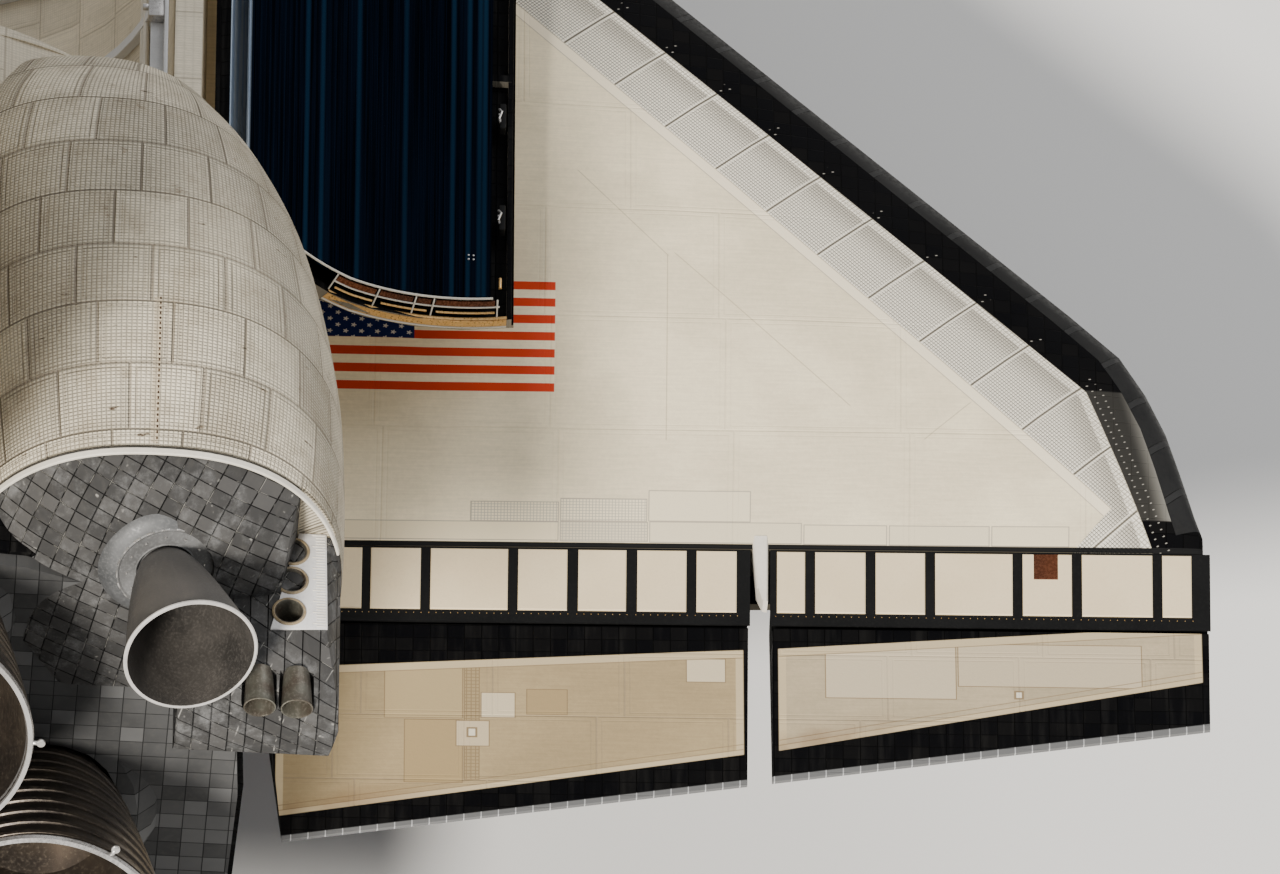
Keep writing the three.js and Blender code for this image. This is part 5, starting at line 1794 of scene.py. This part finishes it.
def elevonFairing(side):
    # The fixed fairing between the two rows
    hand = sides[side]
    rings = []
    for rise, draw in ((-5.5, 0.0), (0.5, 0.0), (1.1, 0.5)):
        ring = []
        for x, y in seals["fairing"]:
            spot = sealPoint(x, y, rise, hand)
            spot.y += hand * draw * (1 if y < 308 else -1)
            ring.append(spot)
        rings.append(ring)
    piece = lofted("elevon_fairing_" + side, rings)
    finishPiece(piece, "cream", "white_blanket", angle=25)


for side in sides:
    for span in ("inboard", "outboard"):
        sealRow(span, side)
    elevonFairing(side)
print("seal panels laid")

# Bay doors: radiator with its edge, truss and latches on the inner side

doors = {
    "hinge": (105.7, 420),
    "axisZ": 400,
    "open": math.radians(175.5),
    "ends": ((1305.8, 0.12), (583.2, -0.12)),
    "lean": {"beyond": 1285.0, "start": 158.5, "slope": 0.112},  # the rear edge runs forward towards its tip
    "radiator": {"top": 94.6, "under": 97.4, "reflectionSheet": 14.4, "from": 17, "to": 85, "front": 592, "rear": 1300},
    "shell": (101.2, 104.2),  # radii of its two faces at the ends
    "tip": 88.4,
    "latches": (640, 760, 880, 1000, 1120, 1211, 1257),
    "levers": (-3.6, 0.0, 3.6),
    "pads": (640, 878, 1116, 1277.6),
}

# Trusses at the ends of the radiators. Distances run outward from the end, angles round the door.
truss = {
    "ends": (1300.5, 591.5),
    # material, distance, radius, from, to, thickness, steps
    "wires": (
        ("cream", 0.0, 95.2, 17, 85.5, 0.42, 40),
        ("cream", 1.6, 98.2, 50, 87, 0.32, 24),
        ("gold", 4.3, 101.6, 50, 88.5, 0.8, 24),
        ("cream", 5.4, 104.7, 50, 88.4, 0.35, 24),
        ("gold", 2.8, 99.8, 51, 60, 0.42, 8),
        ("gold", 2.8, 99.8, 62, 72, 0.42, 8),
        ("gold", 2.8, 99.8, 74, 86, 0.42, 8),
    ),
    "posts": (50, 60.5, 69, 73, 86.5),
    "postEnds": ((0.6, 95.4), (4.2, 101.8)),
    "foils": ((50.5, 60), (61, 68.5), (69.5, 72.5), (73.5, 86)),
    "foilCorners": ((0.4, 96.0), (0.9, 96.0), (1.5, 98.0), (0.8, 98.0)),
    "pegs": (1291.5, 602.0),
}


def doorPoint(x, radius, degrees, hand=1):
    # A point of the closed door's cross-section, swung open
    angle = math.radians(degrees)
    y = radius * math.cos(angle) - doors["hinge"][0]
    z = doors["axisZ"] + radius * math.sin(angle) - doors["hinge"][1]
    turn = -doors["open"]
    across = y * math.cos(turn) - z * math.sin(turn)
    up = y * math.sin(turn) + z * math.cos(turn)
    lean = doors["lean"]
    y = doors["hinge"][0] + across
    if x > lean["beyond"]:
        x -= lean["slope"] * max(0.0, y - lean["start"])
    return Vector((x, hand * y, doors["hinge"][1] + up))


def doorArc(x, radius, fromAngle, toAngle, hand, steps=24):
    return [doorPoint(x, radius, mix(fromAngle, toAngle, i / steps), hand) for i in range(steps + 1)]


def radiatorFace(side):
    hand = sides[side]
    look = doors["radiator"]
    rings = []
    front, rear = look["front"], look["rear"]
    for x, draw in ((front, 0.4), (front + 0.4, 0), (rear - 0.4, 0), (rear, 0.4)):
        top = doorArc(x, look["top"] + draw, look["from"], look["to"], hand, 40)
        under = doorArc(x, look["under"] - draw, look["from"], look["to"], hand, 40)
        rings.append(top + under[::-1])
    piece = lofted("radiator_face_" + side, rings)
    finishPiece(piece, "mirror", "radiator_silver", "bay_door_" + side, 25, ["radiator_" + side])
    # A sheet between the radiator and the hinge, which the real door lacks, carrying the film's painted shade
    # and reflection
    rings = []
    for x in (front + 1, rear - 1):
        top = doorArc(x, look["top"] + 0.3, look["reflectionSheet"], look["from"] + 0.4, hand, 4)
        under = doorArc(x, look["top"] + 0.9, look["reflectionSheet"], look["from"] + 0.4, hand, 4)
        rings.append(top + under[::-1])
    reflectionSheet = lofted("hinge_cover_" + side, rings)
    finishPiece(reflectionSheet, "mirror", "radiator_silver", "bay_door_" + side, 25)


def trimDoor(side):
    # The shell's rear end is cut along the leaning edge
    lean = doors["lean"]
    editing(bpy.data.objects["door_shell_" + side])
    spot = airframePlace @ Vector((doors["ends"][0][0], lean["start"] * sides[side], 400))
    facing = airframePlace.to_3x3() @ Vector((1, lean["slope"] * sides[side], 0))
    bpy.ops.mesh.bisect(plane_co=spot, plane_no=facing.normalized(), use_fill=True, clear_outer=True)
    objectMode()
    bpy.ops.object.shade_smooth_by_angle(angle=math.radians(35))


def rearLip():
    # Fixed lip over the bay's rear end, which the closed doors meet
    rings = []
    for i in range(49):
        degrees = mix(58, 122, i / 48)
        angle = math.radians(degrees)
        ring = []
        for radius, rear in ((101.3, False), (105.9, False), (105.9, True), (101.3, True)):
            front = doorPoint(doors["ends"][0][0], radius, min(degrees, 180 - degrees)).x + 0.9
            x = 1307.2 if rear else front
            ring.append(Vector((x, radius * math.cos(angle), doors["axisZ"] + radius * math.sin(angle))))
        rings.append(ring)
    finishPiece(lofted("bay_rear_lip", rings), "fuselage", "white_blanket")


def doorTruss(side):
    hand = sides[side]
    body = "bay_door_" + side
    parts = {"cream": [], "gold": [], "amber": []}
    for x in truss["ends"]:
        turn = 1 if x > 1000 else -1
        for material, away, radius, start, end, thick, steps in truss["wires"]:
            path = doorArc(x + away * turn, radius, start, end, hand, steps)
            parts[material].append(wire("rod", path, thick))
        for angle in truss["posts"]:
            low, high = (doorPoint(x + away * turn, reach, angle, hand) for away, reach in truss["postEnds"])
            parts["cream"].append(bar("post", low, high, 0.3, 8))
        for start, end in truss["foils"]:
            rings = []
            for i in range(9):
                angle = mix(start, end, i / 8)
                corners = truss["foilCorners"]
                rings.append([doorPoint(x + away * turn, reach, angle, hand) for away, reach in corners])
            parts["amber"].append(lofted("foil", rings))
    for x in truss["pegs"]:
        start, end = doorPoint(x, 95.4, 87, hand), doorPoint(x + 4.6, 95.4, 87, hand)
        parts["gold"].append(bar("peg", start, end, 0.55, 10))
    for x, thick in doors["ends"]:
        inner, outer = (doorArc(x, radius, 50, doors["tip"], hand) for radius in doors["shell"])
        face = inner + outer[::-1]
        parts["gold"].append(lofted("face", [face, [spot + Vector((thick, 0, 0)) for spot in face]]))
    finishPiece(joined("door_rods_" + side, parts["cream"]), "cream", "seal_panel", body, 40)
    finishPiece(joined("door_bands_" + side, parts["gold"]), "gold", "seal_panel", body, 40)
    finishPiece(joined("door_foil_" + side, parts["amber"]), "amber", "seal_panel", body, 40)


def doorLatches(side):
    hand = sides[side]
    body = "bay_door_" + side
    bright, dull = [], []
    for x in doors["latches"]:
        foot = doorPoint(x, 99.8, 87.3, hand)
        tip = doorPoint(x, 95.6, 86.6, hand)
        dull.append(block("box", foot - Vector((5.5, 1.1, 0.8)), foot + Vector((5.5, 1.1, 3.4)), 0.3))
        for step in doors["levers"]:
            lever = Vector((step, 0, 0))
            bright.append(bar("pin", foot + lever, tip + lever * 0.6, 0.45, 10))
        hook = ((-2.2, 0, 0), (-0.5, 0.8 * hand, 0.9), (2.6, -0.2 * hand, 0.6))
        bright.append(wire("hook", [tip + Vector(spot) for spot in hook], 0.38))
    for x in doors["pads"]:
        for dx, dy in ((-1, -1), (-1, 1), (1, -1), (1, 1)):
            spot = doorPoint(x + dx * 0.9, 94.6, 80.7 + dy * 0.53, hand)
            bright.append(bar("pad", spot - Vector((0, 0, 0.2)), spot + Vector((0, 0, 0.35)), 0.36, 10))
    finishPiece(joined("door_latches_" + side, bright), "steel", "strut_paint", body, 35)
    finishPiece(joined("latch_boxes_" + side, dull), "frame", "cabin_fitting", body)


rearLip()
for side in sides:
    trimDoor(side)
    radiatorFace(side)
    doorTruss(side)
    doorLatches(side)
print("doors fitted out")

# Payload bay: frames, sills, trays and bulkhead fittings inside the liner

bayFit = {
    "radius": 92.6,
    "axisZ": 400,
    "frames": (640, 693, 750, 807, 863, 919, 979, 1040, 1090, 1140, 1191, 1249),
    "from": 188,
    "to": 352,
    "bridges": (624, 668, 722, 778, 835, 891, 949, 1010, 1065, 1115, 1166, 1220, 1278),
    # inner y, low z, outer y, high z
    "rails": ((89.2, 411, 90.6, 417.6), (84.6, 409.4, 90.4, 411.2)),
    "trays": ((86.4, 375.4, 89.6, 380.6), (82.8, 363.4, 86.0, 368.6)),
    "hatchZ": 352,
    "hatchRing": ((19, 0), (24, 0), (24.5, 1.5), (23.5, 3.2), (20.5, 3.4), (19.6, 2.2), (19, 0)),
    "hatchDoor": ((0, 2.4), (6, 2.2), (14, 1.6), (18.4, 0.9), (18.8, 0), (0, 0)),
    # x from and to, then where they stand across the bulkhead
    "stiffeners": (
        (582.1, 584.3, (-66, -44, 44, 66)),
        (1304.7, 1306.9, (-72, -48, -24, 0, 24, 48, 72)),
    ),
    "beams": (340, 372, 404),  # heights of the level ones at the rear
}


def bayArc(name, x, half, radius, depth, start, end, steps=28):
    rings = []
    for i in range(steps + 1):
        angle = math.radians(mix(start, end, i / steps))
        ring = []
        for dx, reach in ((-half, radius), (-half, radius - depth), (half, radius - depth), (half, radius)):
            up = bayFit["axisZ"] + reach * math.sin(angle)
            ring.append(Vector((x + dx, reach * math.cos(angle), up)))
        rings.append(ring)
    return lofted(name, rings)


def bayInterior():
    ribs = []
    for x in bayFit["frames"]:
        ribs.append(bayArc("rib", x, 0.7, bayFit["radius"], 3.6, bayFit["from"], bayFit["to"]))
        ribs.append(bayArc("cap", x, 1.9, bayFit["radius"] - 3.3, 0.7, bayFit["from"], bayFit["to"]))
    finishPiece(joined("bay_frames", ribs), "liner", "bay_liner")
    rails, bridges, trays = [], [], []
    for hand in sides.values():
        for inner, low, outer, high in bayFit["rails"]:
            y0, y1 = sorted((inner * hand, outer * hand))
            rails.append(block("rail", (584, y0, low), (1305.5, y1, high), 0.25))
        for x in bayFit["bridges"]:
            y0, y1 = sorted((83.5 * hand, 90.8 * hand))
            bridges.append(block("bridge", (x - 5, y0, 411.6), (x + 5, y1, 415.8), 0.6))
            bridges.append(bar("pin", (x, 83.8 * hand, 414), (x, 81.6 * hand, 414), 1.3, 16))
        for inner, low, outer, high in bayFit["trays"]:
            y0, y1 = sorted((inner * hand, outer * hand))
            trays.append(block("tray", (596, y0, low), (1296, y1, high), 0.5))
        path = [(x, 84.5 * hand, 372 + 0.6 * math.sin(x / 22)) for x in range(600, 1300, 20)]
        trays.append(wire("harness", path, 0.9))
    finishPiece(joined("bay_rails", rails), "strut", "strut_paint")
    finishPiece(joined("bay_bridges", bridges), "steel", "strut_paint")
    finishPiece(joined("bay_trays", trays), "cream", "bay_liner")


def insideBay(away):
    # Half the width of the bay at a distance from its axis, less a margin
    return math.sqrt(bayFit["radius"] ** 2 - away**2) - 4


def bayEnds():
    z = bayFit["hatchZ"]
    parts = [
        spun("ring", bayFit["hatchRing"], Vector((582.2, 0, z)), (1, 0, 0), 56),
        spun("door", bayFit["hatchDoor"], Vector((582.3, 0, z)), (1, 0, 0), 56),
        bar("handle", (584.5, -7, z), (584.5, 7, z), 0.9, 10),
    ]
    finishPiece(joined("bay_hatch", parts), "strut", "strut_paint")
    axisZ = bayFit["axisZ"]
    stiff = []
    for x0, x1, places in bayFit["stiffeners"]:
        for y in places:
            stiff.append(block("stiffener", (x0, y - 1, axisZ - insideBay(y)), (x1, y + 1, 418), 0.3))
    for z in bayFit["beams"]:
        reach = insideBay(axisZ - z)
        stiff.append(block("stiffener", (1305.1, -reach, z - 1), (1306.9, reach, z + 1), 0.3))
    finishPiece(joined("bay_stiffeners", stiff), "cream", "bay_liner")


bayInterior()
bayEnds()
print("bay fitted out")

# Nose: jets and the window of the hatch, seated on the skin


def seatOn(skin, start, direction):
    # Where a line meets a skin piece, and which way the surface faces there, in station inches
    target = bpy.data.objects[skin]
    inward = target.matrix_world.inverted() @ airframePlace
    heading = (inward.to_3x3() @ Vector(direction)).normalized()
    hit, spot, normal, _ = target.ray_cast(inward @ Vector(start), heading)
    if not hit:
        raise ValueError("no surface of " + skin + " there")
    back = inward.inverted()
    return back @ spot, (back.to_3x3() @ normal).normalized()


noseJets = {
    "up": ((352, -13), (352, 0), (352, 13)),
    "ahead": ((292, -11), (289, 0), (292, 11)),
    "side": ((338, 348), (352, 348), (340, 362)),
    "cup": ((0, -0.6), (3.6, -0.6), (4.6, 0.3), (5.3, 0.45), (5.3, 0.0), (5.6, -0.4), (0, -0.9)),
    "mouth": ((0, 0.1), (2.6, 0.16), (4.2, 0.5), (4.7, 0.62), (4.8, 0.3), (0, -0.2)),
}
hatchWindow = {
    "from": (470, -300, 366),
    "rim": ((5.2, 0.0), (6.6, 0.0), (6.9, 0.5), (6.2, 0.8), (5.4, 0.6), (5.2, 0.0)),
    "pane": ((0, 0.25), (4.0, 0.28), (5.3, 0.2), (5.3, 0.0), (0, 0.0)),
}


def noseFittings():
    cups, mouths = [], []
    seats = []
    for x, y in noseJets["up"] + noseJets["ahead"]:
        seats.append(seatOn("forward_skin", (x, y, 600), (0, 0, -1)))
    for hand in sides.values():
        for x, z in noseJets["side"]:
            seats.append(seatOn("forward_skin", (x, 300 * hand, z), (0, -hand, 0)))
    for spot, normal in seats:
        cups.append(spun("cup", noseJets["cup"], spot, normal, 36))
        mouths.append(spun("mouth", noseJets["mouth"], spot, normal, 36))
    finishPiece(joined("nose_jet_rims", cups), "plate", "engine_metal")
    finishPiece(joined("nose_jet_mouths", mouths), "frame", "engine_metal")
    spot, normal = seatOn("hatch_skin", hatchWindow["from"], (0, 1, 0))
    ring = joined("hatch_ring", [spun("rim", hatchWindow["rim"], spot, normal, 48)])
    finishPiece(ring, "steel", "strut_paint", "side_hatch")
    glass = joined("hatch_pane", [spun("pane", hatchWindow["pane"], spot, normal, 48)])
    finishPiece(glass, "glass", "window_glass", "side_hatch")


noseFittings()
print("nose fitted out")

# Undercarriage fittings, on the level ground: x and z in ground inches

gearFit = {
    "main": {"axle": (1159.86, 136, 22.25), "reach": 8.96, "face": 6.6, "spacing": 13.2, "bolts": 10},
    "nose": {"axle": (362.26, 0, 16.0), "reach": 6.4, "face": 3.8, "spacing": 9.6, "bolts": 8},
    "cap": ((0, 0), (3.4, 0), (3.6, 0.5), (3.2, 1.3), (2.0, 1.8), (0, 2.0)),
}
onFloor = Matrix.Scale(stations["inch"], 4) @ Matrix.Translation((-stations["middle"], 0, 0))


def hubFittings(look, across, name, body):
    # Bolts round the faces of a pair of wheels, and caps on their axle
    axleX, _, axleZ = look["axle"]
    parts = []
    for turn in (1, -1):
        face = across + turn * (look["spacing"] + look["face"] * 0.35)
        for i in range(look["bolts"]):
            angle = 2 * math.pi * i / look["bolts"]
            x = axleX + look["reach"] * math.cos(angle)
            z = axleZ + look["reach"] * math.sin(angle)
            parts.append(bar("bolt", (x, face - 0.4 * turn, z), (x, face + 0.7 * turn, z), 0.55, 6, 0.25))
        outer = across + turn * (look["spacing"] + look["face"])
        start = Vector((axleX, outer - 0.3 * turn, axleZ))
        parts.append(spun("cap", gearFit["cap"], start, (0, turn, 0), 28))
    finishPiece(joined(name, parts), "steel", "strut_paint", body, place=onFloor)


def legFittings(name, x, y, foot, head, radius, body):
    # Fluid lines clipped to a leg
    parts = []
    for turn in (-1, 1):
        at = Vector((x - radius - 0.5, y + turn * 1.6, 0))
        path = []
        for i in range(15):
            z = mix(foot, head, i / 14)
            path.append(at + Vector((-0.35 * math.sin(i * 0.9 + turn), 0.2 * math.cos(i * 0.7), z)))
        parts.append(wire("line", path, 0.34))
        for share in (0.2, 0.5, 0.8):
            z = mix(foot, head, share)
            low, high = at + Vector((-0.7, -0.8, z - 0.6)), at + Vector((1.4, 0.8, z + 0.6))
            parts.append(block("clip", low, high, 0.15))
    finishPiece(joined(name, parts), "frame", "strut_paint", body, 35, place=onFloor)


for side, hand in sides.items():
    main = gearFit["main"]
    hubFittings(main, main["axle"][1] * hand, "main_hub_fittings_" + side, "main_wheels_" + side)
    legFittings("main_leg_lines_" + side, main["axle"][0], main["axle"][1] * hand, 62, 116, 6.2, "airframe")
hubFittings(gearFit["nose"], 0, "nose_hub_fittings", "nose_wheels")
legFittings("nose_leg_lines", gearFit["nose"]["axle"][0], 0, 50, 100, 4.6, "airframe")
print("gear fitted out")

# Tyres

tyres = {
    "main": dict(gearFit["main"], radius=22.25, width=15.5, bead=11.4),
    "nose": dict(gearFit["nose"], radius=16.0, width=8.8, bead=8.2),
    "grooves": 4,
}


def tyre(name, look, across, body, node):
    half = look["width"] / 2
    radius, bead = look["radius"], look["bead"]
    rise = radius - bead
    tread = []
    count = tyres["grooves"]
    for i in range(count):
        at = half * 0.55 * (2 * (i + 0.5) / count - 1)
        crown = radius - 0.25 * (at / half) ** 2
        tread += [(crown, at - 0.35), (crown - 0.5, at - 0.25), (crown - 0.5, at + 0.25), (crown, at + 0.35)]
    right = [
        (radius - 0.12 * rise, half * 0.8),
        (bead + 0.62 * rise, half * 0.99),
        (bead + 0.3 * rise, half * 0.93),
        (bead + 0.1, half * 0.66),
        (bead, half * 0.6),
    ]
    left = [(r, -a) for r, a in reversed(right)]
    profile = left + tread + right + [left[0]]
    place = Vector((look["axle"][0], across, look["axle"][2]))
    piece = spun(name, profile, place, (0, 1, 0), 72)
    finishPiece(piece, "rubber", "tyre_rubber", body, 40, [node], onFloor)


for side, hand in sides.items():
    main, nose = tyres["main"], tyres["nose"]
    for name, shift in (("outer", 1), ("inner", -1)):
        across = hand * (main["axle"][1] + shift * main["spacing"])
        node = "main_tyre_" + name + "_" + side
        tyre("rubber_" + name + "_" + side, main, across, "main_wheels_" + side, node)
    tyre("rubber_nose_" + side, nose, hand * nose["spacing"], "nose_wheels", "nose_tyre_" + side)
print("tyres made")
